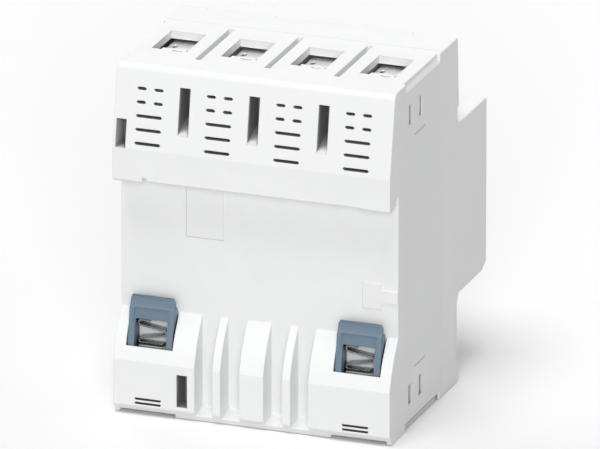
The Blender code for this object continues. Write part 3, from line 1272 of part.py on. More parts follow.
def make_button(material, steel):
    """Test button with its flange, coil spring and the strip that it presses at full travel."""
    front = NOSE + BUTTON_PROUD
    flange_front = NOSE - WALL - FIT
    origin = (BUTTON_X, y_of(front), CENTRE_Z)
    length = front - test_seat() - BUTTON_TRAVEL - BUTTON_END_PLAY
    collar = front - flange_front
    collar_radius = BUTTON_RADIUS + BUTTON_FLANGE
    profile = [(BUTTON_STEM_RADIUS, length), (BUTTON_STEM_RADIUS, collar + BUTTON_FLANGE),
               (collar_radius, collar + BUTTON_FLANGE), (collar_radius, collar), (BUTTON_RADIUS, collar),
               (BUTTON_RADIUS, BUTTON_EDGE), (BUTTON_RADIUS - BUTTON_EDGE, 0.0)]
    mesh = bmesh.new()
    add_lathe(mesh, [(radius, -along) for radius, along in profile], origin, "Y", 24)
    smooth_rounds(finish_object("test_button", mesh, material, origin))
    spring_rear = y_of(test_seat() + FIT + SPRING_WIRE)
    spring_front = spring_rear - BUTTON_SPRING_LENGTH
    make_coil("test_button_spring", (BUTTON_X, spring_rear, CENTRE_Z), (BUTTON_X, spring_front, CENTRE_Z),
              BUTTON_SPRING_RADIUS, BUTTON_SPRING_TURNS, steel, "Y")


def make_test_circuit(copper, ceramic):
    """Contact strip behind the button, which also seats its spring, and the test resistor."""
    seat = test_seat()
    mesh = bmesh.new()
    back = seat - TEST_STRIP_THICKNESS
    add_box(mesh, (BUTTON_X - TEST_STRIP_WIDTH / 2, BUTTON_X + TEST_STRIP_WIDTH / 2), (back, seat),
            (CENTRE_Z - TEST_STRIP_DOWN, CENTRE_Z + TEST_STRIP_UP))
    finish_object("test_contact", mesh, copper)
    body = bmesh.new()
    centre = (BUTTON_X, y_of(back - FIT - RESISTOR_RADIUS), CENTRE_Z - RESISTOR_DROP)
    slim = RESISTOR_RADIUS - RESISTOR_ROUND
    shoulder = RESISTOR_HALF - RESISTOR_ROUND
    profile = [(slim, -RESISTOR_HALF), (RESISTOR_RADIUS, -shoulder), (RESISTOR_RADIUS, shoulder),
               (slim, RESISTOR_HALF)]
    add_lathe(body, profile, centre, "X", 16)
    smooth_rounds(finish_object("test_resistor", body, ceramic, centre))


def make_indicator(flag_material, clear):
    """Flag that slides behind its window as the contacts move, and the clear window."""
    half = INDICATOR_WIDTH / 2
    mesh = bmesh.new()
    tall = INDICATOR_HEIGHT / 2
    add_box(mesh, (INDICATOR_X - half + WINDOW_PLAY, INDICATOR_X + half - WINDOW_PLAY),
            (NOSE - WALL + WINDOW_PLAY, NOSE - WINDOW_RECESS),
            (CENTRE_Z - tall + WINDOW_PLAY, CENTRE_Z + tall - WINDOW_PLAY))
    finish_object("indicator_window", mesh, clear)
    flag = bmesh.new()
    depth = NOSE - WALL - FIT
    add_box(flag, (INDICATOR_X - half, INDICATOR_X + half), (depth - FLAG_THICKNESS, depth),
            (CENTRE_Z - tall, CENTRE_Z + tall + INDICATOR_TRAVEL))
    finish_object("position_indicator", flag, flag_material)


# Transformer, relay and wiring

def make_core(material):
    """Ring core of the summation transformer."""
    mesh = bmesh.new()
    sweep_ring(mesh, lambda step: ring_section(0.0), CORE_SIDES, 360.0)
    bmesh.ops.recalc_face_normals(mesh, faces=mesh.faces)
    smooth_rounds(finish_object("transformer_core", mesh, material), 50)


def ring_section(grow):
    """Section of the core, grown by a distance, as (radius, z)."""
    low = CORE_Z - CORE_HEIGHT / 2 - grow
    high = CORE_Z + CORE_HEIGHT / 2 + grow
    return [(CORE_INNER - grow, low), (CORE_OUTER + grow, low),
            (CORE_OUTER + grow, high), (CORE_INNER - grow, high)]


def sweep_ring(mesh, section, steps, angle):
    """Sweep a closed (radius, z) section round the transformer's axis."""
    closed = angle >= 360.0
    rings = []
    for step in range(steps if closed else steps + 1):
        turn = math.radians(angle * step / steps)
        ring = []
        for radius, height in section(step):
            place = (radius * math.cos(turn), y_of(PIVOT_DEPTH) + radius * math.sin(turn), height)
            ring.append(mesh.verts.new(place))
        rings.append(ring)
    pairs = list(zip(rings, rings[1:]))
    if closed:
        pairs.append((rings[-1], rings[0]))
    for first, second in pairs:
        for index in range(len(first)):
            after = (index + 1) % len(first)
            mesh.faces.new((first[index], second[index], second[after], first[after]))
    return rings


def make_winding(material):
    """Secondary winding laid round the core, its turns as ridges, open where its ends lead out."""
    mesh = bmesh.new()
    steps = 2 * WINDING_TURNS
    grown = FIT + WINDING_THICKNESS
    outside = sweep_ring(mesh, lambda step: ring_section(grown + WINDING_RIDGE * (step % 2)), steps,
                         WINDING_SPAN)
    inside = sweep_ring(mesh, lambda step: ring_section(FIT), steps, WINDING_SPAN)
    for outer_end, inner_end in ((outside[0], inside[0]), (outside[-1], inside[-1])):
        for index in range(4):
            after = (index + 1) % 4
            mesh.faces.new((outer_end[index], outer_end[after], inner_end[after], inner_end[index]))
    bmesh.ops.recalc_face_normals(mesh, faces=mesh.faces)
    finish_object("transformer_winding", mesh, material)


def smooth_route(route, steps):
    """Points on a smooth curve through a route's own points."""
    points = []
    last = len(route) - 1
    for index in range(last):
        before = Vector(route[max(index - 1, 0)])
        start = Vector(route[index])
        end = Vector(route[index + 1])
        after = Vector(route[min(index + 2, last)])
        for step in range(steps):
            share = step / steps
            square = share * share
            cube = square * share
            points.append(0.5 * (2 * start + (end - before) * share
                                 + (2 * before - 5 * start + 4 * end - after) * square
                                 + (3 * start - before - 3 * end + after) * cube))
    points.append(Vector(route[-1]))
    return points


def make_pole_wires(material):
    """Insulated wire of each pole: from its moving contact, through the core, to its load strap."""
    middle = (POLES - 1) / 2
    above = CENTRE_Z - ARM_FOOT - FIT - WIRE_RADIUS
    below = WALL + CHAMBER_HEIGHT + SHELF + FIT + WIRE_RADIUS
    strap_side = STRAP_DEPTH - RUNNING - WIRE_RADIUS
    for index in range(POLES):
        side = -1 if index < middle else 1
        outer = index in (0, POLES - 1)
        hole_x = side * WIRE_BUNDLE
        hole_depth = PIVOT_DEPTH + (-WIRE_BUNDLE if outer else WIRE_BUNDLE)
        aside = hole_depth - WIRE_ASIDE if outer else hole_depth
        turn_x = pole_x(index) * WIRE_OUTER_TURN if outer else side * WIRE_INNER_TURN
        route = [(pole_x(index), PIVOT_DEPTH, above), (turn_x, aside, above),
                 (hole_x + side * WIRE_FLARE, hole_depth, above - WIRE_EASE),
                 (hole_x, hole_depth, CORE_Z + CORE_HEIGHT / 2),
                 (hole_x, hole_depth, CORE_Z - CORE_HEIGHT / 2),
                 (hole_x + side * WIRE_FLARE, hole_depth, below + WIRE_EASE),
                 (turn_x, min(aside, strap_side - FIT), below),
                 (pole_x(index), strap_side, below)]
        world = [(x, y_of(depth), height) for x, depth, height in route]
        make_tube(f"pole_wire_{index + 1}", smooth_route(world, 3), WIRE_RADIUS, material, 2)


def make_relay(case_material, steel):
    """Trip relay in its case, and the plunger that it lets go."""
    mesh = bmesh.new()
    add_box(mesh, (RELAY_X - RELAY_WIDTH / 2, RELAY_X + RELAY_WIDTH / 2),
            (RAIL_SEAT + WALL + FIT, RELAY_FAR), (RELAY_BOTTOM, RELAY_TOP))
    case = finish_object("trip_relay", mesh, case_material)
    well = bmesh.new()
    foot = RELAY_TOP - PLUNGER_ROOT
    centre = (RELAY_X, y_of(PLUNGER_DEPTH), 0.0)
    bore_radius = PLUNGER_RADIUS + RUNNING
    add_lathe(well, [(bore_radius, foot - FIT), (bore_radius, RELAY_TOP + OVERCUT)], centre, "Z", 16)
    boolean(case, well, "DIFFERENCE", "relay_well")
    ears = bmesh.new()
    for side in (-1, 1):
        outer = RELAY_X + side * RELAY_WIDTH / 2
        add_box(ears, sorted((outer, outer - side * TRIP_EAR)),
                (TRIP_PIVOT_DEPTH - TRIP_BARREL_RADIUS, RELAY_FAR),
                (RELAY_TOP - OVERCUT, TRIP_PIVOT_Z + TRIP_EAR_RISE))
    boolean(case, ears, "UNION", "relay_ears")
    bore = bmesh.new()
    pivot = (RELAY_X, y_of(TRIP_PIVOT_DEPTH), TRIP_PIVOT_Z)
    reach = RELAY_WIDTH / 2 + OVERCUT
    radius = TRIP_PIN_RADIUS + RUNNING / 2
    add_lathe(bore, [(radius, -reach), (radius, reach)], pivot, "X", 16)
    boolean(case, bore, "DIFFERENCE", "relay_bore")
    plunger = bmesh.new()
    add_lathe(plunger, [(PLUNGER_RADIUS, foot), (PLUNGER_RADIUS, PLUNGER_TOP - PLUNGER_CHAMFER),
                        (PLUNGER_RADIUS - PLUNGER_CHAMFER, PLUNGER_TOP)], centre, "Z", 16)
    smooth_rounds(finish_object("relay_plunger", plunger, steel))


def make_trip_lever(material, steel):
    """Lever over the plunger that frees the mechanism, on a pin through the relay's ears."""
    pivot = (RELAY_X, y_of(TRIP_PIVOT_DEPTH), TRIP_PIVOT_Z)
    reach = RELAY_WIDTH / 2 - TRIP_EAR - FIT
    mesh = bmesh.new()
    add_lathe(mesh, [(TRIP_BARREL_RADIUS, -reach), (TRIP_BARREL_RADIUS, reach)], pivot, "X", 20)
    lever = finish_object("trip_lever", mesh, material, pivot)
    arms = bmesh.new()
    add_box(arms, (RELAY_X - TRIP_ARM_WIDTH / 2, RELAY_X + TRIP_ARM_WIDTH / 2),
            (PLUNGER_DEPTH - TRIP_ARM_OVERLAP, TRIP_PIVOT_DEPTH),
            (PLUNGER_TOP + FIT, PLUNGER_TOP + FIT + TRIP_ARM))
    add_box(arms, (RELAY_X - reach, RELAY_X - reach + TRIP_FINGER_WIDTH),
            (TRIP_PIVOT_DEPTH - TRIP_ARM / 2, TRIP_PIVOT_DEPTH + TRIP_ARM / 2),
            (TRIP_PIVOT_Z, TRIP_PIVOT_Z + TRIP_FINGER_RISE))
    parented_boolean(lever, arms, "UNION", "trip_arms", pivot)
    bore = bmesh.new()
    radius = TRIP_PIN_RADIUS + RUNNING
    add_lathe(bore, [(radius, -reach - OVERCUT), (radius, reach + OVERCUT)], pivot, "X", 16)
    parented_boolean(lever, bore, "DIFFERENCE", "trip_bore", pivot)
    pin = bmesh.new()
    half = RELAY_WIDTH / 2
    add_lathe(pin, [(TRIP_PIN_RADIUS, -half), (TRIP_PIN_RADIUS, half)], pivot, "X", 16)
    smooth_rounds(finish_object("trip_pin", pin, steel, pivot))


def make_board(material):
    """Circuit board of the evaluation electronics, on edge beside the transformer."""
    mesh = bmesh.new()
    left = -(HALF - WALL - BOARD_SIDE_GAP)
    add_box(mesh, (left, left + BOARD_THICKNESS), (RAIL_SEAT + WALL + FIT, PARTING - BOARD_FRONT_GAP),
            (RELAY_BOTTOM, RELAY_TOP))
    finish_object("circuit_board", mesh, material)


def main():
    """Build every piece of the breaker."""
    clear_scene()
    white = make_material("white_thermoplastic", (0.84, 0.85, 0.86), 0.45)
    latch_grey = make_material("blue_grey_thermoplastic", (0.17, 0.24, 0.30), 0.5)
    black = make_material("black_thermoset", (0.03, 0.03, 0.035), 0.5)
    steel = make_material("zinc_plated_steel", (0.62, 0.63, 0.64), 0.35, 1.0)
    spring_steel = make_material("spring_steel", (0.55, 0.56, 0.57), 0.3, 1.0)
    copper = make_material("tinned_copper", (0.72, 0.62, 0.52), 0.35, 1.0)
    winding_copper = make_material("enamelled_wire", (0.55, 0.22, 0.08), 0.35, 0.6)
    core_grey = make_material("coated_core", (0.12, 0.14, 0.16), 0.6)
    insulation = make_material("wire_insulation", (0.05, 0.09, 0.25), 0.5)
    board_green = make_material("board_laminate", (0.03, 0.18, 0.07), 0.5)
    ceramic = make_material("resistor_body", (0.55, 0.47, 0.33), 0.6)
    clear = make_material("clear_window", (0.9, 0.92, 0.93), 0.1, 0.0, 0.9)
    green = make_material("flag_green", (0.05, 0.35, 0.12), 0.5)
    blue = make_material("toggle_blue", (0.05, 0.07, 0.10), 0.45)

    make_base(white)
    make_cover(white)
    for side, word in ((-1, "left"), (1, "right")):
        make_latch(side, f"rail_latch_{word}", latch_grey)
        make_latch_spring(side, f"latch_spring_{word}", spring_steel)
    repeat_terminals(make_terminal_screws(steel), "terminal_screw")
    repeat_terminals(make_clamps(steel), "terminal_clamp")
    make_line_straps(copper)
    make_load_straps(copper)
    contact_axis = make_axis("contact_axis", (0.0, y_of(PIVOT_DEPTH), CENTRE_Z), -CARRIER_REST)
    make_carrier(contact_axis, black)
    make_contact_arms(contact_axis, copper)
    toggle_axis = make_axis("toggle_axis", (TOGGLE_X, y_of(TOGGLE_AXIS), CENTRE_Z), TOGGLE_REST)
    make_toggle(toggle_axis, blue)
    make_frame(steel)
    make_opening_spring(spring_steel)
    make_button(blue, spring_steel)
    make_test_circuit(copper, ceramic)
    make_indicator(green, clear)
    make_core(core_grey)
    make_winding(winding_copper)
    make_pole_wires(insulation)
    make_relay(white, steel)
    make_trip_lever(black, steel)
    make_board(board_green)


main()
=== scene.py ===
"""Looks of a rail-mounted residual current circuit breaker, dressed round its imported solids."""
import logging
import math
from dataclasses import dataclass
from enum import Enum

import bmesh
import bpy
from mathutils import Matrix, Vector


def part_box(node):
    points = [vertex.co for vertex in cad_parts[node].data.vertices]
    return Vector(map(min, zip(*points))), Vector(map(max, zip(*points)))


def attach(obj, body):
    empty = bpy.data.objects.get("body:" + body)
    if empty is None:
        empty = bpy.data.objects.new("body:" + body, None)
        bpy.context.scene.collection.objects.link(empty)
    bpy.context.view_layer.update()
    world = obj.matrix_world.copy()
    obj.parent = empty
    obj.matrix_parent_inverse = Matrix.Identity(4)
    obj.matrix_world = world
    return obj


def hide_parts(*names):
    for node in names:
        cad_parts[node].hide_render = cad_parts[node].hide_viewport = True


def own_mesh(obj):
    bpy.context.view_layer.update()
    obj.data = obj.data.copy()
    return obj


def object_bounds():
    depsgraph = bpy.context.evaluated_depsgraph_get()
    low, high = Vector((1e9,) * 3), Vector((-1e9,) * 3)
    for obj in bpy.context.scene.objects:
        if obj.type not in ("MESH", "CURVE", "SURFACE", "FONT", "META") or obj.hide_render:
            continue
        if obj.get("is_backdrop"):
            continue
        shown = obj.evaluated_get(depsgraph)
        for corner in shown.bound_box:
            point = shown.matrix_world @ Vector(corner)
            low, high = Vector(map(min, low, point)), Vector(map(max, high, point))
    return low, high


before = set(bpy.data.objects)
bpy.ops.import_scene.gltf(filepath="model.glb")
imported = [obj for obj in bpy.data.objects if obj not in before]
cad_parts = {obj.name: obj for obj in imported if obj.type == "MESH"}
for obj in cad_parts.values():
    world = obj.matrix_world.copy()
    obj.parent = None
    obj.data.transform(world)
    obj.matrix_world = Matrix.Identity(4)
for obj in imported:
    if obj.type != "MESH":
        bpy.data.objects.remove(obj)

Colour = tuple[float, float, float]
Point = tuple[float, float, float]
Pair = tuple[float, float]
Mesh = bpy.types.Mesh
Node = bpy.types.Node
Socket = bpy.types.NodeSocket
Material = bpy.types.Material

MM = 0.001
POLES = 4
QUARTER = math.radians(90)
SAME_POINT = 1e-6
CREASE = math.radians(40)
DRAWN_OUT = (8.0, 1.0, 0.6)
CLOSE_TURNS = 0.4
LOG = logging.getLogger("breaker")


class Side(Enum):
    """The two ends of the breaker, named as seen from its front."""

    LEFT = "left"
    RIGHT = "right"


class End(Enum):
    """The two rows of terminals."""

    TOP = "top"
    BOTTOM = "bottom"


class Axis(Enum):
    """How a piece made along +Z is turned into place."""

    UP = Matrix.Identity(4)
    TO_FRONT = Matrix.Rotation(QUARTER, 4, "X")
    TO_RIGHT = Matrix.Rotation(QUARTER, 4, "Y")


def mm(*values: float) -> tuple[float, ...]:
    """Millimetres as metres."""
    return tuple(value * MM for value in values)


def spaced(values: dict[str, object]) -> dict[str, object]:
    """The same values under their sockets' names, with spaces for underscores."""
    return {label.replace("_", " "): value for label, value in values.items()}


def extent(node: str, unit: float = 1.0) -> tuple[Vector, Vector, Vector]:
    """Where a solid is.

    Args:
        node: the solid's name.
        unit: size in metres of the unit of the results.

    Returns:
        Its lowest corner, its highest corner and its middle.
    """
    low, high = (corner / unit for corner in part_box(node))
    return low, high, (low + high) / 2


# Node trees


class Wiring:
    """The nodes and links of one tree, whatever it is for."""

    def __init__(self, tree: bpy.types.NodeTree) -> None:
        """Take up a tree."""
        self.tree = tree

    def feed(self, socket: Socket, value: object) -> None:
        """Give an input its value.

        Args:
            socket: the input.
            value: a number, a colour, a socket to link, or the name of one of the tree's own inputs.
        """
        if isinstance(value, str):
            value = self.source.outputs[value]
        if isinstance(value, Socket):
            self.tree.links.new(value, socket)
        else:
            socket.default_value = (*value, 1.0) if socket.type == "RGBA" else value

    def node(self, kind: str, feeds: dict[object, object] | None = None, **settings: object) -> Node:
        """Add a node.

        Args:
            kind: the node's type.
            feeds: what its inputs get, by their names or numbers.
            settings: its plain properties.

        Returns:
            The new node.
        """
        made = self.tree.nodes.new(kind)
        for label, value in settings.items():
            setattr(made, label, value)
        for label, value in (feeds or {}).items():
            self.feed(made.inputs[label], value)
        return made

    def maths(self, operation: str, *values: object) -> Socket:
        """Arithmetic on values, of which the third and later ones are taken up one by one.

        Args:
            operation: name of the Math node's operation.
            values: what its inputs get.

        Returns:
            The result.
        """
        if len(values) > 2:
            return self.maths(operation, self.maths(operation, *values[:-1]), values[-1])
        return self.node("ShaderNodeMath", dict(enumerate(values)), operation=operation).outputs[0]

    def span(self, value: Socket, low: float = 0.0, high: float = 1.0, start: object = 0.3, end: object = 0.7,
             smooth: bool = False) -> Socket:
        """Map a value from one range to another.

        Args:
            value: the socket to read.
            low: result at start.
            high: result at end.
            start: value that gives low.
            end: value that gives high.
            smooth: ease in and out.

        Returns:
            The mapped socket.
        """
        feeds = {"Value": value, "From Min": start, "From Max": end, "To Min": low, "To Max": high}
        ease = "SMOOTHSTEP" if smooth else "LINEAR"
        return self.node("ShaderNodeMapRange", feeds, interpolation_type=ease).outputs["Result"]


class SizedTree(Wiring):
    """A tree of its own, with named inputs."""

    def __init__(self, name: str, kind: str, first: tuple[str, str], inputs: dict[str, float]) -> None:
        """Make the tree and its inputs.

        Args:
            name: the tree's name.
            kind: the tree's type.
            first: name and type of its first input.
            inputs: its other inputs and their defaults; a whole number makes an integer input.
        """
        super().__init__(bpy.data.node_groups.new(name, kind))
        self.keys = {first[0]: self.socket(*first).identifier}
        for label, default in spaced(inputs).items():
            socket = self.socket(label, "NodeSocketInt" if isinstance(default, int) else "NodeSocketFloat")
            socket.default_value = default
            self.keys[label] = socket.identifier
        self.source = self.node("NodeGroupInput")

    def socket(self, label: str, kind: str, way: str = "INPUT") -> bpy.types.NodeTreeInterfaceSocket:
        """Add an input or output to the tree."""
        return self.tree.interface.new_socket(label, in_out=way, socket_type=kind)


# Shader groups, each made once and used by many finishes


class ShaderGroup(SizedTree):
    """A shader node group with a vector input, named numbers and named results."""

    def __init__(self, name: str, **inputs: float) -> None:
        """Make the group and its inputs."""
        super().__init__(name, "ShaderNodeTree", ("Vector", "NodeSocketVector"), inputs)

    def noise(self, scale: str, detail: float, place: object = "Vector") -> Socket:
        """Noise whose scale is one of the group's inputs."""
        feeds = {"Vector": place, "Scale": scale, "Detail": detail}
        return self.node("ShaderNodeTexNoise", feeds).outputs["Fac"]

    def enclosed(self) -> Socket:
        """How closed in a point is, by the inputs Reach, Shade Start and Full."""
        # Ambient occlusion as a mask, with which the finishes paint shade into the colour.
        openness = self.node("ShaderNodeAmbientOcclusion", {"Distance": "Reach"}, samples=16).outputs["AO"]
        return self.span(openness, start="Shade Start", end="Full", smooth=True)

    def put(self, **results: Socket) -> "ShaderGroup":
        """Close the group with its results.

        Args:
            results: a socket for each output's name.

        Returns:
            The group.
        """
        for label in results:
            self.socket(label, "NodeSocketFloat", "OUTPUT")
        self.node("NodeGroupOutput", results)
        return self


def grain_group() -> ShaderGroup:
    """Fine mould grain with a slow change of tone.

    Returns:
        The group, with the outputs Height and Tone.
    """
    group = ShaderGroup("mould_grain", Grain=1500.0, Cloud=40.0)
    return group.put(Height=group.noise("Grain", 2.0), Tone=group.noise("Cloud", 3.0))


def edge_group() -> ShaderGroup:
    """Mask of the convex edges, broken up by noise, where handling polishes or lightens them.

    Returns:
        The group, with the output Mask.
    """
    group = ShaderGroup("edge_wear", Start=0.52, Full=0.62, Patch=220.0)
    edges = group.span(group.node("ShaderNodeNewGeometry").outputs["Pointiness"], start="Start", end="Full")
    return group.put(Mask=group.maths("MULTIPLY", edges, group.noise("Patch", 3.0)))


def crevice_shade_group() -> ShaderGroup:
    """Mask of narrow gaps, inner corners and contact lines, found by ambient occlusion, for painted shade.

    Returns:
        The group, with the output Mask.
    """
    group = ShaderGroup("crevice_shades", Reach=0.0009, Shade_Start=0.62, Full=0.2)
    return group.put(Mask=group.enclosed())


# Zones where the finishes paint shade into deep slots, the foot slot, the side windows and the latches'
# channels.
SHADED_HOLLOWS = {
    "vents": (("Z", "GREATER_THAN", "Bottom"), ("Z", "LESS_THAN", "Top"), ("Y", "GREATER_THAN", "Nearest")),
    "foot": (("Z", "GREATER_THAN", "Foot Base"), ("Z", "LESS_THAN", "Foot"),
             ("aside", "GREATER_THAN", "Foot From")),
    "windows": (("aside", "GREATER_THAN", "Wall Inside"), ("aside", "LESS_THAN", "Wall Outside"),
                ("Y", "LESS_THAN", "Wall Nearest")),
    "latch": (("Z", "GREATER_THAN", "Latch Bottom"), ("Z", "LESS_THAN", "Latch Top"),
              ("Y", "GREATER_THAN", "Latch Nearest"), ("aside", "GREATER_THAN", "Foot From")),
}


def deep_shade_group() -> ShaderGroup:
    """Mask of painted shade in deep slots, closed rooms and the latches' channels, where hardly any light gets
    in.

    Returns:
        The group, with the output Mask: 0 in the open, 1 in the depths.
    """
    group = ShaderGroup("painted_deep_shade", Reach=0.010, Shade_Start=0.54, Full=0.28, Bottom=0.064, Top=0.0865,
                        Nearest=0.0235, Foot=0.0125, Foot_Base=0.0026, Foot_From=0.0155, Wall_Inside=0.033,
                        Wall_Outside=0.0356, Wall_Nearest=0.033, Latch_Bottom=0.0118, Latch_Top=0.0178,
                        Latch_Nearest=0.03)
    place = group.node("ShaderNodeTexCoord").outputs["Object"]
    place = group.node("ShaderNodeSeparateXYZ", {0: place}).outputs
    ways = {"aside": group.maths("ABSOLUTE", place["X"]), "Y": place["Y"], "Z": place["Z"]}
    rooms = []
    for tests in SHADED_HOLLOWS.values():
        marks = [group.maths(operation, ways[way], limit) for way, operation, limit in tests]
        rooms.append(group.maths("MULTIPLY", *marks))
    return group.put(Mask=group.maths("MULTIPLY", group.maths("MAXIMUM", *rooms), group.enclosed()))


def drawn_group() -> ShaderGroup:
    """Long fine lines of rolled, drawn or brushed metal.

    Returns:
        The group, with the outputs Lines and Patina.
    """
    group = ShaderGroup("drawn_lines", Lines=400.0, Patina=120.0)
    stretch = group.node("ShaderNodeMapping", {"Vector": "Vector", "Scale": DRAWN_OUT}).outputs["Vector"]
    return group.put(Lines=group.noise("Lines", 2.0, stretch), Patina=group.noise("Patina", 4.0))


class Workshop:
    """The shared shader groups."""

    def __init__(self) -> None:
        """Make each group once."""
        self.grain = grain_group()
        self.edges = edge_group()
        self.deep_shades = deep_shade_group()
        self.crevice_shades = crevice_shade_group()
        self.drawn = drawn_group()


def toned(colour: Colour, factor: float) -> Colour:
    """A colour made darker or lighter by a factor."""
    return tuple(min(1.0, channel * factor) for channel in colour)


class Recipe(Wiring):
    """A material under construction round one Principled shader."""

    def __init__(self, name: str) -> None:
        """Make the material with its shader and object coordinates."""
        self.material = bpy.data.materials.new(name)
        self.material.use_nodes = True
        super().__init__(self.material.node_tree)
        self.place = self.node("ShaderNodeTexCoord").outputs["Object"]

    def shader(self, **values: object) -> Material:
        """Give the shader's inputs their values.

        Args:
            values: what each input gets, with underscores for the spaces in its name.

        Returns:
            The material.
        """
        inputs = self.tree.nodes["Principled BSDF"].inputs
        for label, value in spaced(values).items():
            self.feed(inputs[label], value)
        return self.material

    def group(self, group: ShaderGroup, **values: float) -> bpy.types.NodeOutputs:
        """Place a shared group with its own values here, and give its outputs."""
        return self.node("ShaderNodeGroup", {"Vector": self.place, **values}, node_tree=group.tree).outputs

    def along(self, way: str) -> Socket:
        """One of the object coordinates X, Y and Z."""
        return self.node("ShaderNodeSeparateXYZ", {0: self.place}).outputs[way]

    def blend(self, factor: Socket, first: object, second: object) -> Socket:
        """Mix two colours by a factor from 0 to 1."""
        return self.node("ShaderNodeMix", {0: factor, 6: first, 7: second}, data_type="RGBA").outputs[2]

    def mottled(self, tone: Socket, colour: Colour, less: float, more: float) -> Socket:
        """Let a colour change slowly between a darker and a lighter tone."""
        return self.blend(self.span(tone), toned(colour, 1 - less), toned(colour, 1 + more))

    def skin(self, pattern: Socket, roughness: float, swing: Pair, depth: float, strength: float) -> None:
        """Let one pattern vary the shader's roughness and make its relief.

        Args:
            pattern: the pattern.
            roughness: the finish's roughness.
            swing: how much smoother and how much rougher it gets.
            depth: height of the relief in metres.
            strength: strength of the relief.
        """
        relief = self.node("ShaderNodeBump", {"Height": pattern, "Distance": depth, "Strength": strength})
        self.shader(Roughness=self.span(pattern, roughness - swing[0], roughness + swing[1]),
                    Normal=relief.outputs["Normal"])


# Finishes


@dataclass(frozen=True)
class MouldedPlastic:
    """Injection-moulded plastic with mould grain, slow tone, softly polished edges, and painted shade in
    narrow gaps and deep slots.
    """

    colour: Colour
    roughness: float = 0.45
    grain: float = 1800.0
    depth: float = 0.00002
    mottle: float = 0.02
    edge_light: float = 1.06
    # Darkening of the painted shade in deep slots and rooms; 1 paints none.
    hollow_shade: float = 1.0
    # Darkening of the painted shade in narrow gaps and inner corners.
    crevice_shade: float = 0.5
    crevice_reach: float = 0.0009
    upper: Colour | None = None
    upper_from: float = 0.0
    upper_blur: float = 0.05 * MM
    cloud: float = 45.0
    swing: Pair = (0.05, 0.07)
    relief: float = 0.5

    def material(self, name: str, shop: Workshop) -> Material:
        """Build the material from the shared groups.

        Args:
            name: its name.
            shop: the shared groups.

        Returns:
            The material.
        """
        recipe = Recipe(name)
        grain = recipe.group(shop.grain, Grain=self.grain, Cloud=self.cloud)
        worn = recipe.mottled(grain["Tone"], self.colour, self.mottle, self.mottle)
        # Besides the edges' tone, these layers paint shade into narrow gaps and deep slots.
        layers = [(recipe.group(shop.edges), self.edge_light),
                  (recipe.group(shop.crevice_shades, Reach=self.crevice_reach), self.crevice_shade)]
        if self.hollow_shade < 1:
            layers.append((recipe.group(shop.deep_shades), self.hollow_shade))
        for layer, tone in layers:
            worn = recipe.blend(layer["Mask"], worn, toned(self.colour, tone))
        if self.upper is not None:
            above = recipe.span(recipe.along("Z"), start=self.upper_from,
                                end=self.upper_from + self.upper_blur)
            worn = recipe.blend(above, worn, self.upper)
        recipe.skin(grain["Height"], self.roughness, self.swing, self.depth, self.relief)
        return recipe.shader(Base_Color=worn)


@dataclass(frozen=True)
class WorkedMetal:
    """Plated, rolled or drawn metal with lines, patina and brighter edges."""

    colour: Colour
    roughness: float
    lines: float
    patina: Colour
    depth: float = 0.00001
    stain_from: float = 0.45
    stain_full: float = 0.75
    stain: float = 0.5
    edge_light: float = 1.2
    swing: Pair = (0.08, 0.1)
    relief: float = 0.6

    def material(self, name: str, shop: Workshop) -> Material:
        """Build the material from the shared groups.

        Args:
            name: its name.
            shop: the shared groups.

        Returns:
            The material.
        """
        recipe = Recipe(name)
        drawn = recipe.group(shop.drawn, Lines=self.lines)
        stain = recipe.span(drawn["Patina"], 0.0, self.stain, self.stain_from, self.stain_full)
        base = recipe.blend(stain, self.colour, self.patina)
        worn = recipe.blend(recipe.group(shop.edges)["Mask"], base, toned(self.colour, self.edge_light))
        recipe.skin(drawn["Lines"], self.roughness, self.swing, self.depth, self.relief)
        return recipe.shader(Base_Color=worn, Metallic=1.0)


@dataclass(frozen=True)
class SpeckledCoating:
    """Cement, epoxy or laminate skin with a coarse speckle."""

    colour: Colour
    speck: Colour
    roughness: float = 0.6
    scale: float = 900.0
    depth: float = 0.00004
    amount: float = 0.5
    speck_from: float = 0.5
    speck_full: float = 0.72
    mottle: float = 0.1
    cloud: float = 90.0
    swing: Pair = (0.1, 0.1)
    relief: float = 0.7

    def material(self, name: str, shop: Workshop) -> Material:
        """Build the material from the shared groups.

        Args:
            name: its name.
            shop: the shared groups.

        Returns:
            The material.
        """
        recipe = Recipe(name)
        grain = recipe.group(shop.grain, Grain=self.scale, Cloud=self.cloud)
        speck = recipe.span(grain["Height"], 0.0, self.amount, self.speck_from, self.speck_full)
        base = recipe.mottled(grain["Tone"], self.colour, self.mottle, self.mottle)
        recipe.skin(grain["Height"], self.roughness, self.swing, self.depth, self.relief)
        return recipe.shader(Base_Color=recipe.blend(speck, base, self.speck))


@dataclass(frozen=True)
class ClearMoulding:
    """Clear window with faint flow marks on its surface."""

    colour: Colour = (0.93, 0.96, 0.97)
    roughness: float = 0.06
    swing: Pair = (0.03, 0.03)
    grain: float = 600.0
    cloud: float = 60.0
    mottle: float = 0.03
    depth: float = 0.00001
    relief: float = 0.3
    bending: float = 1.49

    def material(self, name: str, shop: Workshop) -> Material:
        """Build the material from the shared groups.

        Args:
            name: its name.
            shop: the shared groups.

        Returns:
            The material.
        """
        recipe = Recipe(name)
        tone = recipe.group(shop.grain, Grain=self.grain, Cloud=self.cloud)["Tone"]
        recipe.skin(tone, self.roughness, self.swing, self.depth, self.relief)
        return recipe.shader(Base_Color=recipe.mottled(tone, self.colour, self.mottle, 0.0),
                             Transmission_Weight=1.0, IOR=self.bending)


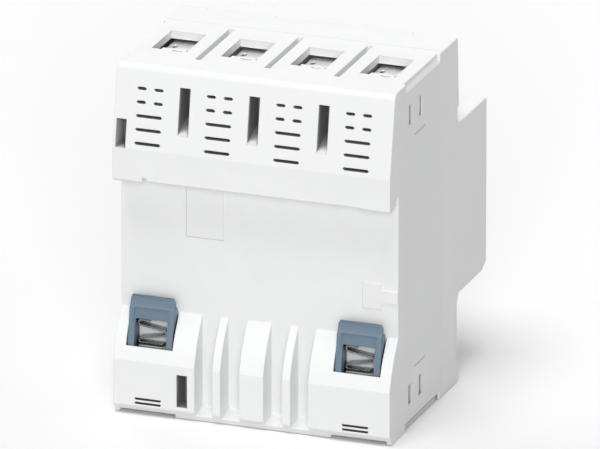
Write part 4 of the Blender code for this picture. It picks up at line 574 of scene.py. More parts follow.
FINISHES = {
    # The housing gets painted shade in narrow gaps and strong painted shade in deep slots.
    "white_housing": MouldedPlastic((0.83, 0.834, 0.835), roughness=0.46, grain=1600.0, depth=0.000012,
                                    mottle=0.008, edge_light=1.05, hollow_shade=0.28),
    # The latch gets dark painted shade in the narrow gaps of its window.
    "latch_plastic": MouldedPlastic((0.138, 0.198, 0.262), roughness=0.5, grain=1500.0, mottle=0.05,
                                    edge_light=1.35, crevice_shade=0.12, crevice_reach=0.0028),
    "toggle_plastic": MouldedPlastic((0.045, 0.065, 0.10), roughness=0.38, grain=1400.0, mottle=0.05,
                                     edge_light=1.5),
    "black_moulding": MouldedPlastic((0.028, 0.028, 0.032), roughness=0.5, grain=1200.0, depth=0.00003,
                                     mottle=0.1, edge_light=1.8),
    "flag_plastic": MouldedPlastic((0.05, 0.36, 0.12), roughness=0.4, grain=1500.0, mottle=0.04,
                                   edge_light=1.2, crevice_shade=0.95, upper=(0.55, 0.03, 0.02),
                                   upper_from=47.0 * MM),
    "relay_case": MouldedPlastic((0.70, 0.69, 0.64), roughness=0.5, grain=1300.0, depth=0.00003, mottle=0.03,
                                 edge_light=1.1),
    "wire_insulation": MouldedPlastic((0.04, 0.08, 0.24), roughness=0.35, grain=900.0, mottle=0.05,
                                      edge_light=1.3),
    "spring_steel": WorkedMetal((0.26, 0.28, 0.29), 0.24, 500.0, patina=(0.16, 0.17, 0.18)),
    "zinc_steel": WorkedMetal((0.66, 0.68, 0.70), 0.32, 420.0, patina=(0.50, 0.52, 0.56)),
    "tinned_copper": WorkedMetal((0.74, 0.74, 0.75), 0.36, 460.0, patina=(0.66, 0.60, 0.54)),
    "enamelled_wire": WorkedMetal((0.62, 0.25, 0.09), 0.26, 700.0, patina=(0.45, 0.16, 0.06)),
    "core_coating": SpeckledCoating((0.11, 0.13, 0.15), speck=(0.2, 0.23, 0.25)),
    "resistor_body": SpeckledCoating((0.55, 0.46, 0.31), speck=(0.7, 0.62, 0.48), roughness=0.7, scale=1400.0),
    "board_laminate": SpeckledCoating((0.03, 0.17, 0.07), speck=(0.06, 0.27, 0.12), roughness=0.35,
                                      scale=1800.0, depth=0.00001, amount=0.3),
    "clear_window": ClearMoulding(),
}


# Geometry


def new_object(name: str, data: bpy.types.ID) -> bpy.types.Object:
    """Make an object and link it.

    Args:
        name: the object's name.
        data: its mesh, lamp or camera.

    Returns:
        The object.
    """
    made = bpy.data.objects.new(name, data)
    bpy.context.collection.objects.link(made)
    return made


def bake(item: bpy.types.Object) -> Mesh:
    """Turn an object with live modifiers into a plain mesh, and remove the object.

    Args:
        item: an object at the origin.

    Returns:
        The plain mesh.
    """
    graph = bpy.context.evaluated_depsgraph_get()
    mesh = bpy.data.meshes.new_from_object(item.evaluated_get(graph))
    bpy.data.objects.remove(item, do_unlink=True)
    return mesh


def modified(mesh: Mesh, steps: list[tuple[str, dict[str, object]]]) -> Mesh:
    """Apply modifiers to a mesh.

    Args:
        mesh: the mesh.
        steps: type and settings of each modifier.

    Returns:
        The new mesh.
    """
    item = new_object(mesh.name + "_blank", mesh)
    for kind, settings in steps:
        modifier = item.modifiers.new(kind.lower(), kind)
        for label, value in settings.items():
            setattr(modifier, label, value)
    return bake(item)


def finished(name: str, work: bmesh.types.BMesh) -> Mesh:
    """Turn a bmesh into a smooth-shaded mesh, and free it.

    Args:
        name: name for the mesh.
        work: the bmesh.

    Returns:
        The mesh.
    """
    mesh = bpy.data.meshes.new(name)
    work.to_mesh(mesh)
    work.free()
    mesh.shade_smooth()
    return mesh


def merged(name: str, *parts: Mesh) -> Mesh:
    """Join meshes into one.

    Args:
        name: name for the mesh.
        parts: the meshes.

    Returns:
        The joined mesh.
    """
    work = bmesh.new()
    for part in parts:
        work.from_mesh(part)
    return finished(name, work)


def welded(mesh: Mesh, distance: float = SAME_POINT) -> bmesh.types.BMesh:
    """Working copy of a mesh with its double points merged.

    Args:
        mesh: the mesh.
        distance: points nearer than this become one.

    Returns:
        The bmesh.
    """
    work = bmesh.new()
    work.from_mesh(mesh)
    bmesh.ops.remove_doubles(work, verts=work.verts, dist=distance)
    return work


def solid_copy(node: str) -> Mesh:
    """A merged, smooth-shaded copy of a solid."""
    return finished(node, welded(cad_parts[node].data))


def rounded(mesh: Mesh, width: float, segments: int = 2, angle: float = 32.0, clamp: bool = False,
            weighted: bool = False, keep_sharp: float = 48.0) -> Mesh:
    """Round the sharp edges of a mesh, and keep its flats flat.

    Args:
        mesh: closed mesh, shaded smooth.
        width: width of the rounding.
        segments: faces across the rounding.
        angle: edges sharper than this are rounded, in degrees.
        clamp: keep the roundings of near edges apart.
        weighted: round the edges with a bevel weight instead.
        keep_sharp: edges that are still sharper than this are shaded sharp, in degrees.

    Returns:
        The rounded mesh.
    """
    bevel = {"width": width, "segments": segments, "limit_method": "WEIGHT" if weighted else "ANGLE",
             "angle_limit": math.radians(angle), "use_clamp_overlap": clamp}
    work = welded(modified(mesh, [("BEVEL", bevel)]), 2 * SAME_POINT)
    for edge in work.edges:
        if math.degrees(edge.calc_face_angle(0.0)) > keep_sharp:
            edge.smooth = False
    return modified(finished(mesh.name, work), [("WEIGHTED_NORMAL", {"weight": 80, "keep_sharp": True})])


def placed(mesh: Mesh, at: Point, axis: Axis = Axis.UP) -> Mesh:
    """A copy of a mesh, turned and moved into place.

    Args:
        mesh: mesh made round the origin, along +Z.
        at: where its origin goes.
        axis: where its +Z points.

    Returns:
        The placed copy.
    """
    copy = mesh.copy()
    copy.transform(Matrix.Translation(at) @ axis.value)
    return copy


def rounded_path(corners: list[Pair], radius: float, steps: int = 6) -> list[Vector]:
    """Round the corners of an open path.

    Args:
        corners: its corners, the ends among them.
        radius: radius of each bend.
        steps: pieces of each bend.

    Returns:
        The path's points.
    """
    points = [Vector(corner) for corner in corners]
    path = [points[0]]
    for before, corner, after in zip(points, points[1:], points[2:]):
        back, ahead = (before - corner).normalized(), (after - corner).normalized()
        half = (math.pi - back.angle(ahead)) / 2
        centre = corner + (back + ahead).normalized() * radius / math.cos(half)
        first, last = (corner + way * radius * math.tan(half) - centre for way in (back, ahead))
        path += [centre + first.lerp(last, step / steps).normalized() * radius for step in range(steps + 1)]
    return path + [points[-1]]


def skinned(name: str, rings: list[list[Point]]) -> Mesh:
    """Skin over a row of rings, closed at both ends.

    Args:
        name: name for the mesh.
        rings: the points of each ring in metres; a ring of one point is a pole.

    Returns:
        The smooth mesh.
    """
    work = bmesh.new()
    loops = [[work.verts.new(point) for point in ring] for ring in rings]
    for low, high in zip(loops, loops[1:]):
        count = max(len(low), len(high))
        for step in range(count):
            after = (step + 1) % count
            work.faces.new(list(dict.fromkeys((low[step % len(low)], low[after % len(low)],
                                               high[after % len(high)], high[step % len(high)]))))
    for loop in (loops[0], loops[-1]):
        if len(loop) > 1:
            work.faces.new(loop)
    bmesh.ops.recalc_face_normals(work, faces=work.faces)
    return finished(name, work)


def lathe(name: str, profile: list[Pair], segments: int = 32) -> Mesh:
    """Turn a profile about Z.

    Args:
        name: name for the mesh.
        profile: (radius, height) points in millimetres, from bottom to top; a radius of 0 closes a pole.
        segments: faces round the axis.

    Returns:
        The closed, smooth mesh, its sharp corners marked.
    """
    rings = []
    for radius, height in profile:
        angles = [2 * math.pi * step / segments for step in range(segments if radius else 1)]
        rings.append([mm(radius * math.cos(angle), radius * math.sin(angle), height) for angle in angles])
    mesh = skinned(name, rings)
    mesh.set_sharp_from_angle(angle=CREASE)
    return mesh


def block(name: str, low: Point, high: Point) -> Mesh:
    """Box, as stock for a rounded piece or as a cutter.

    Args:
        name: name for the mesh.
        low: its lowest corner in millimetres.
        high: its highest corner.

    Returns:
        The closed mesh.
    """
    work = bmesh.new()
    bmesh.ops.create_cube(work, size=1.0)
    bmesh.ops.scale(work, verts=work.verts, vec=[(b - a) * MM for a, b in zip(low, high)])
    bmesh.ops.translate(work, verts=work.verts, vec=[(a + b) / 2 * MM for a, b in zip(low, high)])
    return finished(name, work)


def cut(mesh: Mesh, *cutters: Mesh) -> Mesh:
    """Take the shapes of some cutters out of a mesh.

    Args:
        mesh: closed mesh.
        cutters: closed meshes.

    Returns:
        The cut mesh.
    """
    tools = [new_object(cutter.name, cutter) for cutter in cutters]
    result = modified(mesh, [("BOOLEAN", {"operation": "DIFFERENCE", "solver": "EXACT", "object": tool})
                             for tool in tools])
    for tool in tools:
        bpy.data.objects.remove(tool, do_unlink=True)
    return result


# Geometry Nodes trees


class GeometryTree(SizedTree):
    """A Geometry Nodes tree with named inputs, ending in Realize Instances and Set Material."""

    def __init__(self, name: str, **inputs: float) -> None:
        """Make the tree and its inputs."""
        super().__init__(name, "GeometryNodeTree", ("Material", "NodeSocketMaterial"), inputs)

    def index(self) -> Socket:
        """Number of the point that is worked on."""
        return self.node("GeometryNodeInputIndex").outputs["Index"]

    def vector(self, *values: object) -> Socket:
        """Combine up to three values into a vector."""
        return self.node("ShaderNodeCombineXYZ", dict(enumerate(values))).outputs[0]

    def helix(self, steps: int, turns: str, height: object) -> Socket:
        """Winding curve up Z, as wide as the input Radius says."""
        feeds = {"Resolution": steps, "Rotations": turns, "Start Radius": "Radius", "End Radius": "Radius",
                 "Height": height}
        return self.node("GeometryNodeCurveSpiral", feeds).outputs["Curve"]

    def drawn(self, path: Socket, sides: int, radius: str, capped: bool = True) -> Socket:
        """Draw a round section along a path.

        Args:
            path: the curve.
            sides: sides of the section.
            radius: the input that holds its radius.
            capped: close the ends.

        Returns:
            The mesh.
        """
        section = self.node("GeometryNodeCurvePrimitiveCircle", {"Resolution": sides, "Radius": radius})
        feeds = {"Curve": path, "Profile Curve": section.outputs["Curve"], "Fill Caps": capped}
        return self.node("GeometryNodeCurveToMesh", feeds).outputs["Mesh"]

    def row(self, count: object, place: Socket) -> Socket:
        """A number of points, each set to a place worked out from its own index."""
        line = self.node("GeometryNodeMeshLine", {"Count": count}).outputs["Mesh"]
        return self.node("GeometryNodeSetPosition", {"Geometry": line, "Position": place}).outputs["Geometry"]

    def repeat(self, points: Socket, piece: Socket, turn: Socket | None = None) -> Socket:
        """Put a piece on every point.

        Args:
            points: the points.
            piece: geometry to repeat.
            turn: angles of each copy as a vector, or None.

        Returns:
            The instances.
        """
        feeds = {"Points": points, "Instance": piece}
        if turn is not None:
            feeds["Rotation"] = self.node("FunctionNodeEulerToRotation", {0: turn}).outputs[0]
        return self.node("GeometryNodeInstanceOnPoints", feeds).outputs["Instances"]

    def end(self, geometry: Socket) -> "GeometryTree":
        """Close the tree with Realize Instances and Set Material.

        Args:
            geometry: what the tree puts out.

        Returns:
            The tree.
        """
        real = self.node("GeometryNodeRealizeInstances", {"Geometry": geometry}).outputs["Geometry"]
        dressed = self.node("GeometryNodeSetMaterial", {"Geometry": real, "Material": "Material"})
        self.socket("Geometry", "NodeSocketGeometry", "OUTPUT")
        self.node("NodeGroupOutput", {"Geometry": dressed.outputs["Geometry"]})
        return self

    def mesh(self, material: Material, **values: float) -> Mesh:
        """Evaluate the tree once.

        Args:
            material: the material.
            values: the inputs, with underscores for spaces.

        Returns:
            The plain mesh.
        """
        item = new_object(self.tree.name, bpy.data.meshes.new(self.tree.name))
        modifier = item.modifiers.new(self.tree.name, "NODES")
        modifier.node_group = self.tree
        for label, value in spaced({"Material": material, **values}).items():
            modifier[self.keys[label]] = value
        result = bake(item)
        result.shade_smooth()
        result.set_sharp_from_angle(angle=CREASE)
        return result


def turns_tree() -> GeometryTree:
    """Turns of wire round a ring core.

    Returns:
        The tree, in metres and degrees.
    """
    tree = GeometryTree("wire_turns", Turns=56, Sweep=316.0, Ring_Radius=0.0112, Loop_Width=0.007,
                        Loop_Height=0.0098, Corner=0.0009, Wire_Radius=0.0003)
    loop = tree.node("GeometryNodeCurvePrimitiveQuadrilateral",
                     {"Width": "Loop Width", "Height": "Loop Height"}).outputs["Curve"]
    soft = tree.node("GeometryNodeFilletCurve", {"Curve": loop, "Count": 3, "Radius": "Corner"}, mode="POLY")
    turn = tree.drawn(soft.outputs["Curve"], sides=6, radius="Wire Radius", capped=False)
    share = tree.maths("DIVIDE", tree.maths("ADD", tree.index(), 0.5), "Turns")
    angle = tree.maths("MULTIPLY", share, tree.maths("RADIANS", "Sweep"))
    x, y = (tree.maths("MULTIPLY", "Ring Radius", tree.maths(part, angle)) for part in ("COSINE", "SINE"))
    return tree.end(tree.repeat(tree.row("Turns", tree.vector(x, y)), turn, tree.vector(QUARTER, 0.0, angle)))


def ribs_tree() -> GeometryTree:
    """Parallel round ribs along X, spaced along Z.

    Returns:
        The tree, in metres.
    """
    tree = GeometryTree("round_ribs", Count=5, Pitch=0.001, Length=0.01, Radius=0.0003)
    bar = tree.node("GeometryNodeMeshCylinder", {"Vertices": 12, "Radius": "Radius", "Depth": "Length"})
    middle = tree.maths("MULTIPLY", tree.maths("SUBTRACT", "Count", 1.0), 0.5)
    height = tree.maths("MULTIPLY", tree.maths("SUBTRACT", tree.index(), middle), "Pitch")
    points = tree.row("Count", tree.vector(0.0, 0.0, height))
    return tree.end(tree.repeat(points, bar.outputs["Mesh"], tree.vector(0.0, QUARTER, 0.0)))


def thread_tree() -> GeometryTree:
    """Screw thread as a ridge that winds up Z.

    Returns:
        The tree, in metres.
    """
    tree = GeometryTree("screw_thread", Rotations=16.0, Radius=0.00225, Height=0.013, Ridge=0.00025)
    helix = tree.helix(steps=24, turns="Rotations", height="Height")
    return tree.end(tree.drawn(helix, sides=4, radius="Ridge"))


def coil_tree() -> GeometryTree:
    """Compression spring up Z, its end turns wound closer than the rest.

    Returns:
        The tree, in metres.
    """
    tree = GeometryTree("coil_spring", Turns=5.0, Radius=0.0023, Height=0.012, Wire_Radius=0.00035,
                        Close_Pitch=0.0008)
    along = tree.node("GeometryNodeSplineParameter").outputs["Factor"]
    closed = tree.maths("DIVIDE", tree.maths("MULTIPLY", "Close Pitch", "Turns"), "Height")
    close_end = tree.maths("MULTIPLY", tree.maths("DIVIDE", 1.0, "Turns"), CLOSE_TURNS)
    open_part = tree.span(along, start=close_end, end=tree.maths("SUBTRACT", 1.0, close_end), smooth=True)
    climb = tree.maths("ADD", tree.maths("MULTIPLY", along, closed),
                       tree.maths("MULTIPLY", open_part, tree.maths("SUBTRACT", 1.0, closed)))
    offset = tree.vector(0.0, 0.0, tree.maths("MULTIPLY", climb, "Height"))
    helix = tree.helix(steps=28, turns="Turns", height=0.0)
    lift = tree.node("GeometryNodeSetPosition", {"Geometry": helix, "Offset": offset})
    return tree.end(tree.drawn(lift.outputs["Geometry"], sides=12, radius="Wire Radius"))


def chips_tree() -> GeometryTree:
    """Small parts in rows on a board, some places left free by a fixed seed.

    Returns:
        The tree, in metres.
    """
    tree = GeometryTree("small_parts", Columns=5, Rows=3, Pitch_Across=0.004, Pitch_Up=0.003, Length=0.002,
                        Width=0.0012, Height=0.0008, Free=0.3, Seed=7)
    part = tree.node("GeometryNodeMeshCube", {"Size": tree.vector("Height", "Length", "Width")})
    index = tree.index()
    y = tree.maths("MULTIPLY", tree.maths("MODULO", index, "Columns"), "Pitch Across")
    z = tree.maths("MULTIPLY", tree.maths("FLOOR", tree.maths("DIVIDE", index, "Columns")), "Pitch Up")
    points = tree.row(tree.maths("MULTIPLY", "Columns", "Rows"), tree.vector(0.0, y, z))
    chance = tree.node("FunctionNodeRandomValue", {"Probability": "Free", "Seed": "Seed"}, data_type="BOOLEAN")
    free = next(socket for socket in chance.outputs if socket.type == "BOOLEAN")
    sparse = tree.node("GeometryNodeDeleteGeometry", {"Geometry": points, "Selection": free})
    return tree.end(tree.repeat(sparse.outputs["Geometry"], part.outputs["Mesh"]))


class Kit:
    """What every sub-assembly builds with: the finishes and the repeated patterns."""

    def __init__(self) -> None:
        """Make each material and each pattern once."""
        shop = Workshop()
        self.finishes = {name: finish.material(name, shop) for name, finish in FINISHES.items()}
        trees = (turns_tree(), ribs_tree(), thread_tree(), coil_tree(), chips_tree())
        self.patterns = {tree.tree.name: tree for tree in trees}

    def pattern(self, name: str, finish: str, **values: float) -> Mesh:
        """Plain mesh of a pattern.

        Args:
            name: the pattern's name.
            finish: the finish that it is made in.
            values: its sizes.

        Returns:
            The mesh, round the origin.
        """
        return self.patterns[name].mesh(self.finishes[finish], **values)

    def dress(self, node: str, finish: str) -> None:
        """Give a carried-over solid its material.

        Args:
            node: the solid.
            finish: name of its finish.
        """
        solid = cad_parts[node]
        if not solid.material_slots:
            solid.data.materials.append(self.finishes[finish])
        for slot in solid.material_slots:
            slot.material = self.finishes[finish]
        LOG.info("%s: dressed in %s", node, finish)

    def add(self, name: str, mesh: Mesh, body: str, slot: str, *replaced: str,
            finish: str = "") -> bpy.types.Object:
        """Link a finished mesh as a piece of the breaker.

        Args:
            name: the piece's name.
            mesh: its mesh, already in place.
            body: the body that it rides on.
            slot: the record's slot that it takes its finish from.
            replaced: solids that it stands for.
            finish: name of its finish, where it isn't the slot's.

        Returns:
            The new object.
        """
        piece = new_object(name, mesh)
        mesh.materials.clear()
        mesh.materials.append(self.finishes[finish or slot])
        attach(piece, body)
        if replaced:
            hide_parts(*replaced)
        LOG.info("%s: %d faces on %s", name, len(mesh.polygons), body)
        return piece

    def stand_in(self, node: str, body: str, slot: str, edge: float, *extras: Mesh, finish: str = "",
                 wide_edge: float = 0.25 * MM) -> None:
        """Replace a solid by a copy with rounded edges, joined with its finer details.

        Args:
            node: the solid.
            body: the body that carries it.
            slot: its slot in the record.
            edge: width of the rounding.
            extras: meshes of the details.
            finish: name of its finish, where it isn't the slot's.
            wide_edge: roundings wider than this are kept apart.
        """
        mesh = rounded(solid_copy(node), edge, clamp=edge > wide_edge)
        if extras:
            mesh = merged(node, mesh, *extras)
        self.add(f"{node}_finished", mesh, body, slot, node, finish=finish)


@dataclass(frozen=True)
class PressedSpring:
    """A spring held by the housing at one end and pressed from the other."""

    node: str
    joint: str
    axis: Axis
    travel: float
    turns: float = 0.0
    wire: float = 0.35 * MM
    close_pitch: float = 2.2
    clear: float = 0.1 * MM
    leaf: float = 0.45 * MM
    bend: float = 0.56 * MM
    leaf_edge: float = 0.05 * MM
    top_reach: float = 0.6 * MM
    foot_short: float = 1.0 * MM
    folds: tuple[float, ...] = (0.0, 0.20, 0.39, 0.58, 0.80, 1.0)

    def zigzag(self, low: Vector, high: Vector) -> Mesh:
        """Leaf folded in slanting strands, which fills the room between two corners.

        Args:
            low: lowest corner.
            high: highest corner.

        Returns:
            The leaf.
        """
        half = self.leaf / 2
        left, right, middle = low.x + half, high.x - half, (low.x + high.x) / 2
        top, foot = high.z - half, low.z + half
        levels = [top + (foot - top) * share for share in self.folds]
        across = [middle + self.top_reach, right, right, left, left, right, right, left + self.foot_short]
        line = rounded_path(list(zip(across, [top, *levels, foot])), self.bend)
        rings = []
        for index, point in enumerate(line):
            along = line[min(index + 1, len(line) - 1)] - line[max(index - 1, 0)]
            aside = Vector((-along.y, along.x)).normalized() * half
            edges = (point + aside, point - aside)
            rings.append([(edge.x, low.y, edge.y) for edge in edges]
                         + [(edge.x, high.y, edge.y) for edge in reversed(edges)])
        return rounded(skinned("zigzag_leaf", rings), self.leaf_edge, clamp=True)

    def coil(self, kit: Kit, length: float, width: float) -> Mesh:
        """Round wire spring up Z from the origin.

        Args:
            kit: finishes and patterns.
            length: length from end to end.
            width: outer diameter.

        Returns:
            The coil.
        """
        mesh = kit.pattern("coil_spring", "spring_steel", Turns=self.turns, Radius=width / 2 - self.wire,
                           Height=length - 2 * self.wire, Wire_Radius=self.wire,
                           Close_Pitch=self.close_pitch * self.wire)
        mesh.transform(Matrix.Translation((0.0, 0.0, self.wire)))
        return mesh

    def build(self, kit: Kit) -> None:
        """Make the spring in place of its solid.

        Args:
            kit: finishes and patterns.
        """
        low, high, middle = extent(self.node)
        way = (self.axis.value @ Vector((0.0, 0.0, 1.0))).normalized()
        length = abs((high - low).dot(way))
        held = middle - way * length / 2
        if self.turns:
            name, mesh = f"{self.node}_wound", placed(self.coil(kit, length, high.x - low.x), held, self.axis)
        else:
            name, mesh = f"{self.node}_leaf", self.zigzag(low, high)
        piece = kit.add(name, mesh, "housing", "spring_steel", self.node)
        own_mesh(piece)


# Sub-assemblies


@dataclass
class Shell:
    """One half of the housing, with crisp folds and the soft edges that its mould gives it."""

    node: str
    edge: float = 0.15 * MM
    corner: float = 32.0
    fold: Pair = (8.5, 17.0)
    seam: float = 0.3 * MM
    seam_left: float = 0.08 * MM
    seam_play: float = 0.01 * MM
    scoop_near: float = 22.0 * MM
    scoop_far: float = 24.0 * MM
    scoop_depth: float = 1.2 * MM
    edge_slot: tuple[Point, Point] = ((32.7, 32.0, 69.0), (35.3, 40.0, 76.2))

    def stock(self) -> Mesh:
        """Merged copy with its seam closed to a hairline, its folds marked sharp and its edges weighted.

        Returns:
            The mesh, ready to be rounded.
        """
        source = solid_copy(self.node)
        base_low, base_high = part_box("housing_base")
        plane, way = base_low.y - self.seam, 1
        if self.node == "housing_base":
            source = cut(source, block("edge_slot", *self.edge_slot))
            plane, way = base_low.y, -1
        work = welded(source)
        at_seam = {point for point in work.verts if abs(point.co.y - plane) < self.seam_play}
        crisp = {point for point in work.verts if point.co.z > base_high.z - self.scoop_depth
                 and self.scoop_near < point.co.y < self.scoop_far}
        weights = work.edges.layers.float.new("bevel_weight_edge")
        for edge in work.edges:
            turn = math.degrees(edge.calc_face_angle(0.0))
            edge.smooth = not (self.fold[0] < turn < self.fold[1] or turn > self.corner)
            plain = at_seam.issuperset(edge.verts) or crisp.intersection(edge.verts)
            edge[weights] = float(turn > self.corner and not plain)
        for point in at_seam:
            point.co.y += way * (self.seam - self.seam_left) / 2
        return finished(self.node, work)

    def build(self, kit: Kit) -> None:
        """Round the stock's edges and dress it.

        Args:
            kit: finishes and patterns.
        """
        mesh = rounded(self.stock(), self.edge, weighted=True)
        kit.add(f"{self.node}_shell", mesh, "housing", "white_housing", self.node)


@dataclass
class FrontTrim:
    """Low rims on the operating face, round the toggle's slot and the test button."""

    proud: float = 0.5
    sink: float = 0.15
    toggle_rim: float = 1.2
    rim_edge: float = 0.2 * MM
    button_rim: float = 0.9
    button_radius: float = 3.2
    play: float = 0.35
    slot_play: float = 0.2
    slot_half: float = 12.0
    through: float = 5.0

    def slot_rim(self, face: float, centre: float) -> Mesh:
        """Rounded frame round the toggle's slot.

        Args:
            face: y of the operating face in millimetres.
            centre: its middle height.

        Returns:
            The frame's mesh.
        """
        handle_low, handle_high, _ = extent("toggle_handle", MM)
        half = min(max(centre - handle_low.z, 0.0) + self.slot_play, self.slot_half)
        low = Vector((handle_low.x - self.play, face - self.proud, centre - half))
        high = Vector((handle_high.x + self.play, face + self.sink, centre + half))
        grow, through = Vector((self.toggle_rim, 0.0, self.toggle_rim)), Vector((0.0, self.through, 0.0))
        outer = block("rim_stock", low - grow, high + grow)
        hole = block("rim_hole", low - through, high + through)
        return rounded(cut(outer, hole), self.rim_edge, segments=3, clamp=True)

    def ring(self) -> Mesh:
        """Turned rim of the test button, standing on its face."""
        inside = self.button_radius + self.play
        outside = inside + self.button_rim
        return lathe("button_rim", [(inside, -self.sink), (outside, -self.sink), (outside, self.proud * 0.6),
                                    (outside - 0.25, self.proud), (inside + 0.2, self.proud),
                                    (inside, self.proud * 0.7), (inside, -self.sink)], 40)

    def build(self, kit: Kit) -> None:
        """Make both rims on the nose's face.

        Args:
            kit: finishes and patterns.
        """
        low, high, _ = extent("housing_cover", MM)
        kit.add("toggle_rim", self.slot_rim(low.y, high.z / 2), "housing", "white_housing")
        button = extent("test_button", MM)[2]
        kit.add("button_rim", placed(self.ring(), mm(button.x, low.y, button.z), Axis.TO_FRONT), "housing",
                "white_housing")


@dataclass
class RailLatch:
    """A sprung rail latch: the blue-grey slider and its bright spring."""

    side: Side
    edge: float = 0.14 * MM
    corner_wide: float = 0.4
    corner_high: float = 0.9
    body_width: float = 11.6
    travel: float = 3.5 * MM
    over: float = 0.01
    reach: Pair = (20.0, 45.0)

    def corner(self, middle: float, top: float, way: int) -> Mesh:
        """Wedge that slants one upper corner of the nose.

        Args:
            middle: x of the slider's middle in millimetres.
            top: height of the nose in millimetres.
            way: -1 or 1, for the corner's side.

        Returns:
            The cutter.
        """
        edge = middle + way * self.body_width / 2
        points = [(edge - way * self.corner_wide, top + self.over), (edge + way, top + self.over),
                  (edge + way, top - self.corner_high), (edge, top - self.corner_high)]
        return skinned("nose_corner", [[mm(x, y, z) for x, z in points] for y in self.reach])

    def build(self, kit: Kit) -> None:
        """Copy the slider, slant its nose's corners, round its edges and dress both.

        Args:
            kit: finishes and patterns.
        """
        node = f"rail_latch_{self.side.value}"
        low, high, _ = extent(node)
        wedges = [self.corner((low.x + high.x) / 2 / MM, high.z / MM, way) for way in (-1, 1)]
        mesh = rounded(cut(solid_copy(node), *wedges), self.edge)
        kit.add(f"{node}_slider", mesh, f"latch_{self.side.value}", "latch_plastic", node)
        PressedSpring(f"latch_spring_{self.side.value}", f"latch_{self.side.value}_slide", Axis.UP,
                      self.travel).build(kit)


@dataclass
class Terminals:
    """The eight box terminals: threaded screws with combined slots, and serrated clamps."""

    head_radius: float = 3.7
    head_height: float = 2.8
    shank_radius: float = 2.15
    head_edge: float = 0.08 * MM
    thread_ridge: float = 0.3
    thread_pitch: float = 0.8
    thread_from: float = 0.5
    thread_short: float = 1.2
    slot_width: float = 1.0
    slot_depth: float = 1.3
    cross_reach: float = 2.1
    cross_deeper: float = 0.4
    cross_narrower: float = 0.9
    serrations: int = 8
    serration_pitch: float = 1.15
    serration_radius: float = 0.28
    clamp_side: float = 1.2
    clamp_wall: float = 1.5
    clamp_edge: float = 0.18 * MM

    def screw(self, length: float, kit: Kit) -> Mesh:
        """Screw along +Z with its tip at the origin.

        Args:
            length: whole length in millimetres.
            kit: finishes and patterns.

        Returns:
            The screw's mesh.
        """
        under, rim, core = length - self.head_height, self.head_radius, self.shank_radius
        stock = lathe("screw_stock", [(core - 0.6, 0.0), (core, 0.6), (core, under - 0.3), (rim - 0.3, under),
                                      (rim, under + 0.3), (rim, length - 0.5), (rim - 0.15, length - 0.2),
                                      (rim - 0.5, length)], 40)
        half, above, floor = self.slot_width / 2, length + 1, length - self.slot_depth
        arm, thin, deep = self.cross_reach, half * self.cross_narrower, floor - self.cross_deeper
        slots = [block("drive_slot", (-half, -rim - 1, floor), (half, rim + 1, above)),
                 block("drive_cross", (-arm, -thin, deep), (arm, thin, above)),
                 block("drive_cross", (-thin, -arm, deep), (thin, arm, above))]
        head = rounded(cut(stock, *slots), self.head_edge, segments=1, angle=50.0, clamp=True)
        run = under - self.thread_short
        thread = kit.pattern("screw_thread", "zinc_steel", Rotations=run / self.thread_pitch, Radius=core * MM,
                             Height=run * MM, Ridge=self.thread_ridge * MM)
        return merged("terminal_screw", head, placed(thread, mm(0.0, 0.0, self.thread_from)))

    def build(self, kit: Kit) -> None:
        """Make the screws and clamps of every pole, above and below.

        Args:
            kit: finishes and patterns.
        """
        low, high, _ = extent("terminal_screw_top_1")
        screw = self.screw((high.y - low.y) / MM, kit)
        low, high, _ = extent("terminal_clamp_top_1")
        wide = high.x - low.x - 2 * self.clamp_side * MM
        teeth = kit.pattern("round_ribs", "zinc_steel", Count=self.serrations, Length=wide,
                            Pitch=self.serration_pitch * MM, Radius=self.serration_radius * MM)
        for place in (f"{end.value}_{pole}" for pole in range(1, POLES + 1) for end in End):
            node = f"terminal_screw_{place}"
            _, high, tip = extent(node)
            tip.y = high.y
            kit.add(f"{node}_threaded", placed(screw, tip, Axis.TO_FRONT), f"screw_{place}", "zinc_steel",
                    node)
            node = f"terminal_clamp_{place}"
            wall = (tip.x, extent(node)[1].y - self.clamp_wall * MM, tip.z)
            kit.stand_in(node, f"clamp_{place}", "zinc_steel", self.clamp_edge, placed(teeth, wall))


@dataclass
class PoleParts:
    """Straps, moving contacts, the contact carrier and the pole wires."""

    edge: float = 0.2 * MM
    lip_near: float = 15.4
    lip_far: float = 7.6
    lip_thickness: float = 1.2
    lip_rise: float = 0.06
    lip_edge: float = 0.12 * MM
    hole: Point = (2.4, 12.5, 0.65)
    hole_long: float = 1.6
    wire_crease: float = math.radians(50)

    def lip(self, node: str) -> Mesh:
        """Wide guiding lip of a line strap's end, with its small hole.

        Args:
            node: the strap's solid.

        Returns:
            The lip, which fills the floor of the conductor opening.
        """
        low, high, middle = extent(node, MM)
        top = high.z + self.lip_rise
        under = top - self.lip_thickness
        plate = block("lip", (low.x, self.lip_far, under), (high.x, self.lip_near, top))
        aside, deep, radius = self.hole
        punch = lathe("punch", [(0.0, -1.0), (radius, -1.0), (radius, 3.0), (0.0, 3.0)], 24)
        punch.transform(Matrix.Diagonal((1.0, self.hole_long, 1.0, 1.0)))
        return rounded(cut(plate, placed(punch, mm(middle.x + aside, deep, under))), self.lip_edge, clamp=True)

    def build(self, kit: Kit) -> None:
        """Round and dress the current path of each pole.

        Args:
            kit: finishes and patterns.
        """
        for pole in range(1, POLES + 1):
            line, wire = f"line_strap_{pole}", f"pole_wire_{pole}"
            kit.stand_in(line, "housing", "tinned_copper", self.edge, self.lip(line))
            kit.stand_in(f"load_strap_{pole}", "housing", "tinned_copper", self.edge)
            kit.stand_in(f"moving_contact_{pole}", "contact_carrier", "tinned_copper", self.edge)
            sleeve = solid_copy(wire)
            sleeve.set_sharp_from_angle(angle=self.wire_crease)
            kit.add(f"{wire}_sleeved", sleeve, "housing", "wire_insulation", wire)
        kit.stand_in("contact_carrier", "contact_carrier", "black_moulding", self.edge)


